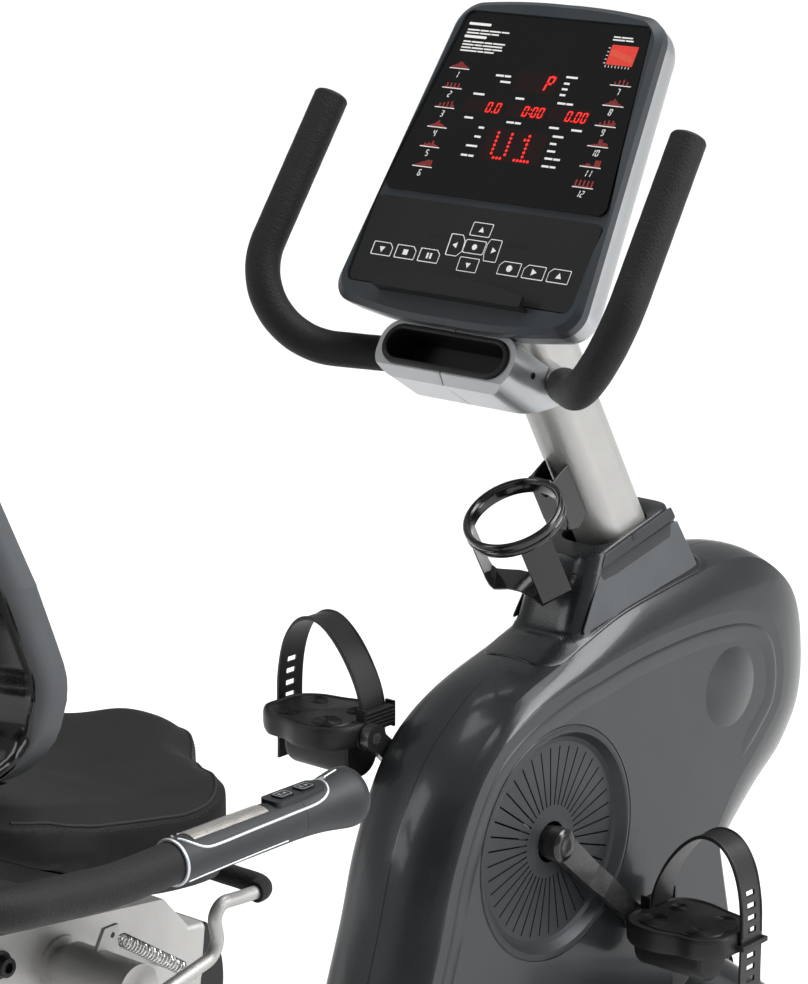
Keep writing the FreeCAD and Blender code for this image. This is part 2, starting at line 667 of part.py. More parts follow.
def flywheel_axle():
    x, z = FLYWHEEL_AT
    axle = across(8, x, z, -50, 54)
    nut = across(13, x, z, -50, POST_Y[0])
    return axle.fuse(nut).fuse(across(11, x, z, POST_Y[1], 5.7))


def belt_loop(extra, y0, y1):
    """The convex outline round both pulleys, grown by extra."""
    x, z = FLYWHEEL_AT
    big, small = PULLEY_R + extra, FLYWHEEL_PULLEY_R + extra
    distance = math.hypot(x, z)
    turn = math.atan2(z, x)
    open_angle = math.acos((big - small) / distance)
    corners = []
    for sign in (1, -1):
        a = turn + sign * open_angle
        ends = [(big * math.cos(a), big * math.sin(a)), (x + small * math.cos(a), z + small * math.sin(a))]
        corners.append(ends)
    outline = [corners[0][0], corners[0][1], corners[1][1], corners[1][0]]
    strap = slab(outline, y0, y1)
    return strap.fuse(across(big, 0, 0, y0, y1)).fuse(across(small, x, z, y0, y1))


def drive_belt():
    return belt_loop(GAP + 3.0, *BELT_Y).cut(belt_loop(GAP, BELT_Y[0] - 1, BELT_Y[1] + 1))


def brake_magnets():
    """Curved magnet carrier held off the flywheel's rim, on a bracket from the post."""
    x, z = FLYWHEEL_AT
    ring = across(FLYWHEEL_R + 12, x, z, 6, 32).cut(across(FLYWHEEL_R + 3, x, z, 0, 40))
    sector = slab([(x, z), (x + 200, z - 60), (x + 200, z - 260), (x - 20, z - 260)], 0, 40)
    bracket = box((232, 305), (POST_Y[0] + 4, 31), (z - FLYWHEEL_R - 24, z - FLYWHEEL_R + 4))
    return ring.common(sector).fuse(bracket).cut(across(FLYWHEEL_R + 3, x, z, -60, 40))


def crank_axle():
    axle = across(AXLE_R, 0, 0, -58, 58)
    return axle.fuse(across(8, 0, 0, -ARM_FACE + 3, ARM_FACE - 3))


def crank_pulley():
    web = across(PULLEY_R, 0, 0, *BELT_Y).cut(across(PULLEY_R - 12, 0, 0, BELT_Y[0] + 5, BELT_Y[1]))
    for y in (BELT_Y[0] - 2.0, BELT_Y[1]):
        flange = across(PULLEY_R + 2, 0, 0, y, y + 2).cut(across(PULLEY_R - 12, 0, 0, y, y + 2))
        web = web.fuse(flange)
    web = web.fuse(across(24, 0, 0, BELT_Y[0] - 6, BELT_Y[1] + 2))
    angles = [i * math.pi / 3 for i in range(6)]
    windows = [across(17, 58 * math.cos(a), 58 * math.sin(a), 0, 60) for a in angles]
    return web.cut(Part.makeCompound(windows)).cut(across(AXLE_R, 0, 0, 0, 60))


def crank_end(side):
    """x and z of the pedal end, for side -1 (right) or 1 (left)."""
    a = math.radians(CRANK_ANGLE + (0 if side < 0 else 180))
    return CRANK_LENGTH * math.cos(a), CRANK_LENGTH * math.sin(a)


EYE_FACE = ARM_FACE + 4.0           # the arm bends outwards, so that its blade clears the cover's rim


def crank_arm(side):
    """Forged arm, drawn on the left along +X, then turned to its angle."""
    y0, y1 = ARM_FACE - 13.0, ARM_FACE
    out = EYE_FACE - 10.8
    hub = across(17.5, 0, 0, y0, y1)
    eye = across(14, CRANK_LENGTH, 0, out, EYE_FACE)
    tip = CRANK_LENGTH - 6
    blade = slab([(6, 14), (tip, 10.5), (tip, -10.5), (6, -14)], y0, EYE_FACE)
    side_view = [(0, y0 + 1), (72, y0 + 1), (94, out), (tip + 2, out), (tip + 2, EYE_FACE - 1),
                 (96, EYE_FACE - 1), (70, y1 - 1), (0, y1 - 1)]
    corners = [V(x, y, -30) for x, y in side_view]
    bend = Part.Face(Part.makePolygon(corners + corners[:1])).extrude(V(0, 0, 60))
    arm = hub.fuse(eye).fuse(blade.common(bend))
    arm = arm.fuse(across(17, 0, 0, ARM_FACE - 20, y0 + 1))
    arm = arm.cut(across(AXLE_R, 0, 0, 40, 58)).cut(across(8, 0, 0, 50, ARM_FACE - 3))
    arm = arm.cut(across(SPINDLE_R, CRANK_LENGTH, 0, out - 2, 90))
    angle = math.degrees(math.atan2(crank_end(side)[1], crank_end(side)[0]))
    arm = turned(arm, (0, 1, 0), -angle, (0, 0, 0))
    return arm if side > 0 else mirrored(arm)


def pedal_spindles():
    rods = []
    for side in (-1, 1):
        x, z = crank_end(side)
        steel = across(SPINDLE_R, x, z, EYE_FACE - 10.8, 192).fuse(across(9, x, z, EYE_FACE, EYE_FACE + 4))
        rods.append(steel if side > 0 else mirrored(steel))
    return Part.makeCompound(rods)


# ---- pedals ----------------------------------------------------------------------------------
PEDAL_Y = (80.0, 200.0)
STRAP_X = (2.0, 38.0)
STRAP_LINE = [(88, 15), (91, 34), (106, 66), (128, 93), (152, 107), (176, 102), (194, 78), (202.5, 42),
              (204, 0), (204, -50)]


def pedal(side):
    """Wavy platform with a weighted housing below that keeps it level."""
    y0, y1 = PEDAL_Y
    outline = [(0, y0), (-30, y0 + 3), (-49, y0 + 20), (-53, y0 + 48), (-44, y0 + 75), (-42, y0 + 98),
               (-24, y1 - 2), (0, y1), (24, y1 - 1), (44, y0 + 100), (50, y0 + 72), (53, y0 + 46),
               (48, y0 + 20), (30, y0 + 3)]
    top = Part.Face(ring_of([(x, y, -9) for x, y in outline])).extrude(V(0, 0, 24))
    trough = across(24, 0, -22, y0 + 6, y0 + 92).fuse(box((-24, 24), (y0 + 6, y0 + 92), (-22, -8)))
    clip = box((STRAP_X[0] - 4, STRAP_X[1] + 4), (y1 - 6, y1 + 9), (-4, 2))
    clip = clip.cut(box((STRAP_X[0] - 1, STRAP_X[1] + 1), (200.6, 206.6), (-5, 3)))
    buckle = box((STRAP_X[0] - 3, STRAP_X[1] + 3), (y0, y0 + 6), (0, 24))
    body = top.fuse(trough).fuse(clip).fuse(buckle).cut(across(SPINDLE_R + RUNNING, 0, 0, 0, 193))
    body = body.cut(across(9.5, 0, 0, 70, y0 + 4))
    x, z = crank_end(side)
    body.translate(V(x, 0, z))
    return body if side > 0 else mirrored(body)


def pedal_strap(side):
    """Slotted strap over the foot, with its tail hanging through the outer clip."""
    thick = 2.6
    outer = curve([(0, y, z) for y, z in STRAP_LINE])
    inner_points = []
    for y, z in STRAP_LINE:
        u = outer.Curve.parameter(V(0, y, z))
        tangent = outer.tangentAt(u)
        inner_points.append((0, y - tangent.z * -thick, z - tangent.y * thick))
    inner_points[0] = (0, STRAP_LINE[0][0] + thick, STRAP_LINE[0][1])
    inner = curve(inner_points)
    first, last = STRAP_LINE[0], STRAP_LINE[-1]
    ends = [Part.makeLine(V(0, *last), V(*inner_points[-1])),
            Part.makeLine(V(*inner_points[0]), V(0, *first))]
    face = Part.Face(Part.Wire([outer, ends[0], inner, ends[1]]))
    strap = face.extrude(V(STRAP_X[1] - STRAP_X[0], 0, 0))
    strap.translate(V(STRAP_X[0], 0, 0))
    middle = sum(STRAP_X) / 2.0
    heights = (-40, -27, -14, 14, 27, 40, 53)
    slots = [box((middle - 7, middle + 7), (190, 215), (z - 3, z + 3)) for z in heights]
    strap = strap.cut(Part.makeCompound(slots))
    x, z = crank_end(side)
    strap.translate(V(x, 0, z))
    return strap if side > 0 else mirrored(strap)


# ---- seat carriage and lever -----------------------------------------------------------------
CARRIAGE_X = (-860.0, -535.0)
PLATE_Y = (62.0, 66.0)
CARRIAGE_TOP = 98.0


def carriage():
    """Channel over the rail, with inturned lips, a seat box on top and the lever's stub."""
    x, (y0, y1) = CARRIAGE_X, PLATE_Y
    low = RAIL_FRONT.z - RAIL_HEIGHT
    side = slab([(x[0], low - 18), (x[1] - 14, low - 18), (x[1], low + 10), (x[1], CARRIAGE_TOP - 30),
                 (x[1] - 34, CARRIAGE_TOP), (x[0], CARRIAGE_TOP)], y0, y1)
    lip = box((x[0], x[1] - 30), (44, y1), (low - 18, low - 14))
    halves = side.fuse(lip)
    halves = halves.fuse(mirrored(halves))
    top = box((x[0], x[1] - 34), (-y1, y1), (CARRIAGE_TOP - 4, CARRIAGE_TOP))
    riser = box((-840, -600), (-52, 52), (CARRIAGE_TOP, 142))
    riser = riser.cut(box((-836, -604), (-48, 48), (CARRIAGE_TOP, 138)))
    body = on_rail(halves.fuse(top).fuse(riser))
    stub = across(LEVER_STUB_R, LEVER_AT[0], LEVER_AT[1], -152, -y0)
    stub = stub.fuse(across(LEVER_STUB_R + 7, LEVER_AT[0], LEVER_AT[1], -y1 - 4, -y0))
    anchor = across(4, *SPRING_FRONT, -118, -y0)
    return body.fuse(stub).fuse(anchor)


def glide_pads():
    """Low-friction blocks between the carriage and the rail, above, beside and below it."""
    low, high = RAIL_FRONT.z - RAIL_HEIGHT, RAIL_FRONT.z
    pads = []
    for x in ((-845, -785), (-640, -580)):
        upper = box(x, (22, RAIL_HALF - 4), (high + GAP, CARRIAGE_TOP - 4))
        beside = box(x, (RAIL_HALF + GAP, PLATE_Y[0]), (low + 15, high - 15))
        under = box(x, (45, RAIL_HALF - 4), (low - 14, low - GAP))
        for pad in (upper, beside, under):
            pads += [pad, mirrored(pad)]
    return on_rail(Part.makeCompound(pads))


def lock_shoe():
    """Brake shoe that the lever lifts off the rail."""
    pad = box((-730, -680), (-20, 20), (RAIL_FRONT.z + GAP, RAIL_FRONT.z + 8))
    stem = rod(6, (-705, 0, RAIL_FRONT.z + 8), (-705, 0, CARRIAGE_TOP - 12))
    return on_rail(pad.fuse(stem))


SPRING_FRONT = (-575.0, 52.0)       # x and z of the fixed spring pin
SPRING_REAR = (-672.0, 117.0)       # x and z of the hole in the lever's tab
SPRING_Y = -110.0
LEVER_Y = -180.0
LEVER_LINE = [(LEVER_AT[0], -156, LEVER_AT[1]), (LEVER_AT[0], LEVER_Y, LEVER_AT[1]), (-612, LEVER_Y, 101),
              (-622, LEVER_Y, 146), (-587, LEVER_Y, 143), (-549, LEVER_Y, 141), (-549, 60, 141)]
LEVER_BENDS = [14, 18, 14, 30, 18]


def seat_lever():
    """Bent rod welded to a sleeve that turns on the carriage's stub."""
    x, z = LEVER_AT
    rod_shape = sweep(LEVER_LINE, LEVER_BENDS, 6.0)
    sleeve = across(LEVER_STUB_R + 5, x, z, -148, -82).fuse(across(LEVER_STUB_R + 5, x, z, -160, -152.3))
    sleeve = sleeve.fuse(across(LEVER_STUB_R + 5, x, z, -152.5, -147))
    sleeve = sleeve.cut(across(LEVER_STUB_R + RUNNING, x, z, -152.3, -60))
    tab = slab([(x - 4, z + 18), (x + 24, z + 12), (SPRING_REAR[0] + 7, SPRING_REAR[1] + 8),
                (SPRING_REAR[0] - 9, SPRING_REAR[1] + 8)], SPRING_Y - 2, SPRING_Y + 2)
    tab = tab.cut(across(2.5, *SPRING_REAR, SPRING_Y - 5, SPRING_Y + 5))
    tab = tab.cut(across(LEVER_STUB_R + 3, x, z, -120, -100))
    return rod_shape.fuse(sleeve).fuse(tab)


def lever_foam():
    line = [(-568, LEVER_Y, 142), (-549, LEVER_Y, 141), (-549, 66, 141)]
    foam = sweep(line, [18], 9.5)
    inner = sweep(LEVER_LINE, LEVER_BENDS, 6.0)
    return foam.cut(inner)


def lever_spring():
    """Room of the return spring's coil."""
    a = (SPRING_FRONT[0], SPRING_Y, SPRING_FRONT[1])
    b = (SPRING_REAR[0], SPRING_Y, SPRING_REAR[1])
    return tube(6.5, 4.8, towards(a, b, 9.0), towards(b, a, 16.0))


# ---- seat and backrest -----------------------------------------------------------------------
SEAT_TOP = [(-478, 222), (-487, 240), (-505, 250), (-540, 254), (-590, 256), (-640, 258), (-700, 262),
            (-760, 271), (-820, 283), (-880, 292)]
SEAT_LOW = [(-478, 204), (-500, 195), (-540, 191), (-600, 192), (-660, 196), (-720, 204), (-780, 220),
            (-830, 240), (-880, 262)]
SEAT_PLAN = [(-478, 0), (-482, 26), (-497, 52), (-524, 80), (-554, 112), (-580, 148), (-594, 178),
             (-620, 204), (-670, 214), (-740, 213), (-810, 205), (-858, 188), (-876, 150), (-880, 80),
             (-881, 0)]


def seat_block(top, low, grow):
    """The space between two side curves, inside the seat's plan outline."""
    y0 = -300
    upper = curve([(x, y0, z) for x, z in top])
    lower = curve([(x, y0, z) for x, z in low])
    ends = [Part.makeLine(V(top[-1][0], y0, top[-1][1]), V(low[-1][0], y0, low[-1][1])),
            Part.makeLine(V(low[0][0], y0, low[0][1]), V(top[0][0], y0, top[0][1]))]
    side = Part.Face(Part.Wire([upper, ends[0], lower, ends[1]])).extrude(V(0, 600, 0))
    middle = (-660.0, 0.0)
    half = [(middle[0] + (x - middle[0]) * grow, y * grow) for x, y in SEAT_PLAN]
    plan = half + [(x, -y) for x, y in reversed(half[1:-1])]
    prism = Part.Face(ring_of([(x, y, 100) for x, y in plan])).extrude(V(0, 0, 300))
    return side.common(prism)


def seat_cushion():
    return seat_block(SEAT_TOP, SEAT_LOW, 1.0)


def lowered(points, amount):
    return [(x, z - amount) for x, z in points]


def seat_pan():
    """Ribbed plastic pan under the cushion, on the carriage's seat box."""
    top = lowered(SEAT_LOW, 0.5)
    pan = seat_block(top, lowered(SEAT_LOW, 16.0), 0.93)
    hub = box((-820, -610), (-90, 90), (150, 240)).common(seat_block(top, lowered(SEAT_LOW, 60.0), 1.0))
    floor = on_rail(box((-1000, -400), (-200, 200), (0, 142)))
    return pan.fuse(hub).cut(floor)


def back_x(z):
    """x of the backrest's rear face at its side edges."""
    knots = [(296, -846), (320, -833), (345, -823), (375, -820), (400, -825), (430, -838)]
    if z >= knots[-1][0]:
        return knots[-1][1] - (z - knots[-1][0]) * math.tan(math.radians(BACK_LEAN))
    for (z0, x0), (z1, x1) in zip(knots, knots[1:]):
        if z <= z1:
            return x0 + (x1 - x0) * (z - z0) / (z1 - z0)


BACK_LEVELS = [(300, 0.74), (330, 0.90), (390, 0.97), (480, 1.0), (600, 0.97), (700, 0.90), (762, 0.78),
               (790, 0.62)]
BACK_DISH = 48.0


def back_section(z, width, rear, front, swell=0.0):
    """A curved strip: rear and front are distances ahead of the back's rear face at its edges,
    and swell is how much thicker it is in the middle."""
    x = back_x(z)
    half = BACK_HALF * width
    dish = BACK_DISH * width ** 2
    edges = []
    rear_arc = Part.Arc(V(x + rear, -half, z), V(x + rear - dish, 0, z), V(x + rear, half, z)).toShape()
    crown = x + front - dish + swell * width
    front_arc = Part.Arc(V(x + front, half, z), V(crown, 0, z), V(x + front, -half, z)).toShape()
    edges.append(rear_arc)
    edges.append(Part.makeLine(V(x + rear, half, z), V(x + front, half, z)))
    edges.append(front_arc)
    edges.append(Part.makeLine(V(x + front, -half, z), V(x + rear, -half, z)))
    return Part.Wire(edges)


def back_block(rear, front, narrow, swell=0.0):
    sections = [back_section(z, w * narrow, rear, front, swell) for z, w in BACK_LEVELS]
    return Part.makeLoft(sections, True, False)


BACK_SHELL = 26.0


def backrest_shell():
    return back_block(0.0, BACK_SHELL, 1.0)


def backrest_cushion():
    """Pad that is thin at its edges and thick in the middle, so the shell's rim shows round it."""
    return back_block(BACK_SHELL + 0.5, BACK_SHELL + 14.0, 0.93, 34.0)


def backrest_frame(shell):
    """Bent post from the carriage up the back, with a cross tube and a mounting plate."""
    line = [(-838, 118), (-838, 156), (-905, 166), (-896, 300), (-968, 550), (-1008, 550), (-936, 292),
            (-945, 128)]
    post = slab(line, -28, 28)
    hollow = slab([(-842, 126), (-842, 150), (-909, 160), (-900, 299), (-970, 540), (-1002, 540), (-932, 294),
                   (-941, 134)], -24, 24)
    post = post.cut(hollow)
    cross = tube(14, 11, (-908, -135, 400), (-908, 135, 400))
    plate_low = box((-935, -850), (-45, 45), (384, 416))
    plate_high = box((-975, -900), (-60, 60), (500, 540))
    body = post.fuse(cross).fuse(plate_low).fuse(plate_high)
    saddle = box((-985, -930), (-40, 40), (232, 264))
    bar_room = sweep(SEAT_BAR, SEAT_BENDS, BAR_R)
    bar_room = bar_room.fuse(mirrored(bar_room))
    body = body.fuse(saddle).cut(bar_room).cut(shell)
    in_front = back_block(-1.0, 200.0, 1.0)
    under = on_rail(box((-960, -500), (-100, 100), (-50, 98)))
    riser = on_rail(box((-840, -600), (-52, 52), (90, 142)))
    return body.cut(in_front).cut(under).cut(riser)


# ---- seat handles ----------------------------------------------------------------------------
SEAT_BAR = [(-975, 0, 248), (-975, HANDLE_Y, 252), (-800, HANDLE_Y, 231), (-728, HANDLE_Y, HANDLE_Z),
            (-536, HANDLE_Y, HANDLE_Z)]
SEAT_BENDS = [85, 250, 600]
GRIP_X = (-734.0, -521.0)
GRIP_R = 19.5
PULSE_X = (-718.0, -630.0)
KEY_X = (-603.0, -577.0)
KEY_SIZE = (17.0, 13.0)
KEY_TRAVEL = 1.2


def seat_bar():
    half = sweep(SEAT_BAR, SEAT_BENDS, BAR_R)
    inner = sweep(SEAT_BAR, SEAT_BENDS, BAR_R - BAR_WALL)
    whole = half.fuse(mirrored(half)).cut(inner).cut(mirrored(inner))
    return whole


def seat_bar_foams():
    start, corner = SEAT_BAR[0], SEAT_BAR[1]
    foam = sweep([towards(start, corner, 110), *SEAT_BAR[1:]], SEAT_BENDS, FOAM_R)
    foam = foam.cut(sweep(SEAT_BAR, SEAT_BENDS, BAR_R))
    return pair(foam.cut(box((GRIP_X[0] - 0.2, -400), (200, 290), (150, 300))))


def along(radius, x0, x1):
    return rod(radius, (x0, HANDLE_Y, HANDLE_Z), (x1, HANDLE_Y, HANDLE_Z))


def key_block(x, grow, low, high):
    w, d = KEY_SIZE[0] / 2 + grow, KEY_SIZE[1] / 2 + grow
    block = box((x - w, x + w), (HANDLE_Y - d, HANDLE_Y + d), (low, high))
    return rounded(block, 3.0 + grow, lambda e: runs_along(e, V(0, 0, 1)))


def pulse_plate():
    band = along(GRIP_R + 0.8, *PULSE_X).cut(along(GRIP_R - 0.8, *PULSE_X))
    wedge = slab([(0, 0), (-17, 30), (17, 30)], PULSE_X[0], PULSE_X[1])
    wedge = turned(wedge, (0, 0, 1), -90, (0, 0, 0))
    wedge.translate(V(0, HANDLE_Y, HANDLE_Z))
    return band.common(wedge)


def seat_grip(bar_room):
    """Moulded sleeve with a flared end, a steel-plate seat and a raised pad for two keys."""
    x0, x1 = GRIP_X
    grip = along(GRIP_R, x0, x1 - 34)
    flare = Part.makeCone(GRIP_R, GRIP_R + 3.5, 24, V(x1 - 34, HANDLE_Y, HANDLE_Z), V(1, 0, 0))
    cap = along(GRIP_R + 3.5, x1 - 10, x1)
    grip = grip.fuse(flare).fuse(cap)
    grip = grip.makeFillet(4.0, [e for e in grip.Edges if e.CenterOfMass.x > x1 - 1 and e.Length > 100])
    pad = box((KEY_X[0] - 17, KEY_X[1] + 17), (HANDLE_Y - 11, HANDLE_Y + 11), (HANDLE_Z + 8, HANDLE_Z + 22))
    grip = grip.fuse(rounded(pad, 5.0, lambda e: runs_along(e, V(0, 0, 1))))
    for x in KEY_X:
        grip = grip.cut(key_block(x, GAP, HANDLE_Z + 16, HANDLE_Z + 30))
    return grip.cut(pulse_plate()).cut(bar_room)


def seat_key(x):
    return key_block(x, 0.0, HANDLE_Z + 16 + KEY_TRAVEL + 0.2, HANDLE_Z + 23.4)


# ---- build -----------------------------------------------------------------------------------
def build():
    os.makedirs("parts", exist_ok=True)

    save("base_beam", base_beam())
    fork = wheel_fork()
    save("front_stabiliser", stabiliser(STABILISER_X[0]).fuse(fork).fuse(mirrored(fork)))
    save("rear_stabiliser", stabiliser(STABILISER_X[1]))
    caps = [foot_cap(x) for x in STABILISER_X]
    save("foot_caps", Part.makeCompound(caps + [mirrored(c) for c in caps]))
    save("front_cover", pair(front_cover()))
    save("transport_wheel_left", transport_wheel())
    save("transport_wheel_right", mirrored(transport_wheel()))
    save("rear_upright", rear_upright())
    save("seat_rail", seat_rail())
    save("rail_caps", rail_caps())

    outer = shroud_solid(0.0, 0.0)
    left = shroud_half(outer)
    save("shroud_left", left)
    save("shroud_right", mirrored(left))
    save("crank_covers", pair(crank_cover()))

    save("drive_frame", drive_frame())
    save("bearings", bearings())
    save("flywheel", flywheel())
    save("flywheel_axle", flywheel_axle())
    save("drive_belt", drive_belt())
    save("brake_magnets", brake_magnets())
    save("crank_axle", crank_axle())
    save("crank_pulley", crank_pulley())
    save("pedal_spindles", pedal_spindles())
    for side, name in ((-1, "right"), (1, "left")):
        save("crank_arm_" + name, crank_arm(side))
        save("pedal_" + name, pedal(side))
        save("pedal_strap_" + name, pedal_strap(side))

    bar_room = handlebar_half(BAR_R)
    bar_room = bar_room.fuse(mirrored(bar_room))
    save("mast", mast(bar_room))
    save("mast_collar", collar(shroud_parts(0.0, 0.0)))
    save("cup_holder", cup_holder())
    save("console_housing", console_frame(console_housing()))
    save("console_bezel", console_frame(console_bezel()))
    save("console_screen", console_frame(console_screen()))
    save("console_keypad", console_frame(console_keypad()))
    save("console_ledge", console_frame(console_ledge()))
    stub_room = handlebar_half(BAR_R + 1.0)
    stub_room = stub_room.fuse(mirrored(stub_room))
    save("pod_left", pod_half(-1, stub_room))
    save("pod_right", pod_half(1, stub_room))
    save("pod_tray", console_frame(pod_tray()))
    save("handlebar", handlebar())
    save("handlebar_foams", handlebar_foams())

    save("carriage", carriage())
    save("glide_pads", glide_pads())
    save("lock_shoe", lock_shoe())
    save("seat_lever", seat_lever())
    save("lever_foam", lever_foam())
    save("lever_spring", lever_spring())
    save("seat_pan", seat_pan())
    save("seat_cushion", seat_cushion())
    shell = backrest_shell()
    save("backrest_shell", shell)
    save("backrest_cushion", backrest_cushion())
    save("backrest_frame", backrest_frame(shell))
    save("seat_bar", seat_bar())
    save("seat_bar_foams", seat_bar_foams())
    save("seat_grips", pair(seat_grip(sweep(SEAT_BAR, SEAT_BENDS, BAR_R))))
    save("pulse_plates", pair(pulse_plate()))
    for name, x in (("down", KEY_X[0]), ("up", KEY_X[1])):
        save("key_" + name + "_left", seat_key(x))
        save("key_" + name + "_right", mirrored(seat_key(x)))


if __name__ == "__main__":
    build()
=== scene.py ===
import json
import math
import random

import bmesh
import bpy
from mathutils import Matrix, Vector
from mathutils.bvhtree import BVHTree


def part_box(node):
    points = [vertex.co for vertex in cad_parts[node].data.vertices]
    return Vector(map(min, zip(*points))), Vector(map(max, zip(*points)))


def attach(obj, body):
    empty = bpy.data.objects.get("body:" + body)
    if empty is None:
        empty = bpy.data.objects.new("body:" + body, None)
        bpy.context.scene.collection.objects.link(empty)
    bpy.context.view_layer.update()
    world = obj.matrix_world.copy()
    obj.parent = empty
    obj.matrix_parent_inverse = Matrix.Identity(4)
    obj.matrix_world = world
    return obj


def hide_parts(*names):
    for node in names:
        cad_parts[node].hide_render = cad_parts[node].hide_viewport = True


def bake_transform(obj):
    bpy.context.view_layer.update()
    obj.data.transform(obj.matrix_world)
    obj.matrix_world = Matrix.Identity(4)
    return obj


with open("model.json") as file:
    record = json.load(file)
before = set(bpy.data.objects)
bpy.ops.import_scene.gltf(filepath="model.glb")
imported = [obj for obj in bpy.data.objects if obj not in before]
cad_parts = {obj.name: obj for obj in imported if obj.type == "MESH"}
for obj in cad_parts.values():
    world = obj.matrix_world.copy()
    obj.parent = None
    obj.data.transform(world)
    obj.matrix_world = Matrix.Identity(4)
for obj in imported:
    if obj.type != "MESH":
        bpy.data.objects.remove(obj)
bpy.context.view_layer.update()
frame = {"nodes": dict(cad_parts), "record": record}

# The looks of the recumbent exercise bike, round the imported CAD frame. Sizes are in millimetres
# from the centre of the crank axle, as the design is laid out, and at() turns them into metres.

MM = 0.001
random.seed(7)


# ---- places ----------------------------------------------------------------------------------
def middle(node):
    low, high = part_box(node)
    return (low + high) / 2


CRANK = middle("crank_axle")
CONSOLE_TILT = math.radians(32.24)
CONSOLE_UP = Vector((math.sin(CONSOLE_TILT), 0, math.cos(CONSOLE_TILT)))
CONSOLE_OUT = Vector((-math.cos(CONSOLE_TILT), 0, math.sin(CONSOLE_TILT)))
RIDER_RIGHT = Vector((0, -1, 0))


def at(x, y, z):
    return CRANK + Vector((x, y, z)) * MM


CONSOLE_AT = at(-86.3, 0, 565.4)


def on_console(x, y, z):
    """x to the rider's right, y up the face and z out of it."""
    return CONSOLE_AT + (RIDER_RIGHT * x + CONSOLE_UP * y + CONSOLE_OUT * z) * MM


def towards(start, end, distance):
    """The point this far from start on the way to end."""
    start, end = Vector(start), Vector(end)
    return start + (end - start).normalized() * distance


# ---- materials -------------------------------------------------------------------------------
NOISE_SPAN = (0.3, 0.7)             # most of a noise texture's values lie between these


class Nodes:
    """A new material's node tree, with short ways to add the nodes used here."""

    def __init__(self, name):
        self.material = bpy.data.materials.new(name)
        self.material.use_nodes = True
        self.tree = self.material.node_tree
        self.shader = self.tree.nodes["Principled BSDF"]
        self.place = self.tree.nodes.new("ShaderNodeTexCoord").outputs["Object"]

    def link(self, output, socket):
        self.tree.links.new(output, socket)

    def noise(self, scale, detail=3.0, stretch=None):
        node = self.tree.nodes.new("ShaderNodeTexNoise")
        node.inputs["Scale"].default_value = scale
        node.inputs["Detail"].default_value = detail
        self.link(self.stretched(stretch), node.inputs["Vector"])
        return node.outputs["Fac"]

    def cells(self, scale):
        node = self.tree.nodes.new("ShaderNodeTexVoronoi")
        node.feature = "SMOOTH_F1"
        node.inputs["Scale"].default_value = scale
        self.link(self.place, node.inputs["Vector"])
        return node.outputs["Distance"]

    def stretched(self, stretch):
        if stretch is None:
            return self.place
        node = self.tree.nodes.new("ShaderNodeMapping")
        node.inputs["Scale"].default_value = stretch
        self.link(self.place, node.inputs["Vector"])
        return node.outputs["Vector"]

    def spread(self, value, low, high):
        node = self.tree.nodes.new("ShaderNodeMapRange")
        node.inputs["From Min"].default_value, node.inputs["From Max"].default_value = NOISE_SPAN
        node.inputs["To Min"].default_value, node.inputs["To Max"].default_value = low, high
        self.link(value, node.inputs["Value"])
        return node.outputs["Result"]

    def colours(self, value, low, high):
        node = self.tree.nodes.new("ShaderNodeValToRGB")
        for stop, place, colour in zip(node.color_ramp.elements, NOISE_SPAN, (low, high)):
            stop.position, stop.color = place, (*colour, 1)
        self.link(value, node.inputs["Fac"])
        return node.outputs["Color"]

    def bump(self, height, distance, under=None):
        node = self.tree.nodes.new("ShaderNodeBump")
        node.inputs["Distance"].default_value = distance
        node.inputs["Strength"].default_value = 1.0
        self.link(height, node.inputs["Height"])
        if under is not None:
            self.link(under, node.inputs["Normal"])
        return node.outputs["Normal"]


def scaled(colour, factor):
    return tuple(min(1.0, c * factor) for c in colour)


def finish(name, colour, rough, metal=0.0, coat=0.0, vary=0.12, grain=900.0, depth=0.00004, wave=None,
           pebble=None, sheen=0.0, stretch=None, shine=0.5):
    """A material with cloudy colour, uneven gloss and a fine grain.
    grain is in cells per metre and depth in metres; wave is (scale, depth) of a slow unevenness
    and pebble (scale, depth) of rounded cells."""
    n = Nodes(name)
    clouds = n.noise(14.0, 4.0)
    cloudy = n.colours(clouds, scaled(colour, 1 - vary), scaled(colour, 1 + vary))
    n.link(cloudy, n.shader.inputs["Base Color"])
    speckle = n.noise(grain, 2.0, stretch)
    n.link(n.spread(speckle, max(0.03, rough - 0.07), min(1.0, rough + 0.07)), n.shader.inputs["Roughness"])
    normal = n.bump(speckle, depth)
    if wave:
        normal = n.bump(n.noise(wave[0], 2.0), wave[1], under=normal)
    if pebble:
        normal = n.bump(n.cells(pebble[0]), pebble[1], under=normal)
    n.link(normal, n.shader.inputs["Normal"])
    n.shader.inputs["Metallic"].default_value = metal
    n.shader.inputs["Specular IOR Level"].default_value = shine
    n.shader.inputs["Coat Weight"].default_value = coat
    n.shader.inputs["Coat Roughness"].default_value = 0.12
    n.shader.inputs["Sheen Weight"].default_value = sheen
    return n.material


def glow(name, colour, strength):
    """Lit segments behind a tinted window, a little brighter in the middle of each. Also used for the printed
    chart, whose glow is painted light, as that chart is print and no lamp.
    """
    n = Nodes(name)
    n.link(n.colours(n.noise(700.0), scaled(colour, 0.8), colour), n.shader.inputs["Emission Color"])
    n.shader.inputs["Emission Strength"].default_value = strength
    n.link(n.colours(n.noise(400.0), scaled(colour, 0.3), scaled(colour, 0.4)), n.shader.inputs["Base Color"])
    n.shader.inputs["Roughness"].default_value = 0.3
    return n.material


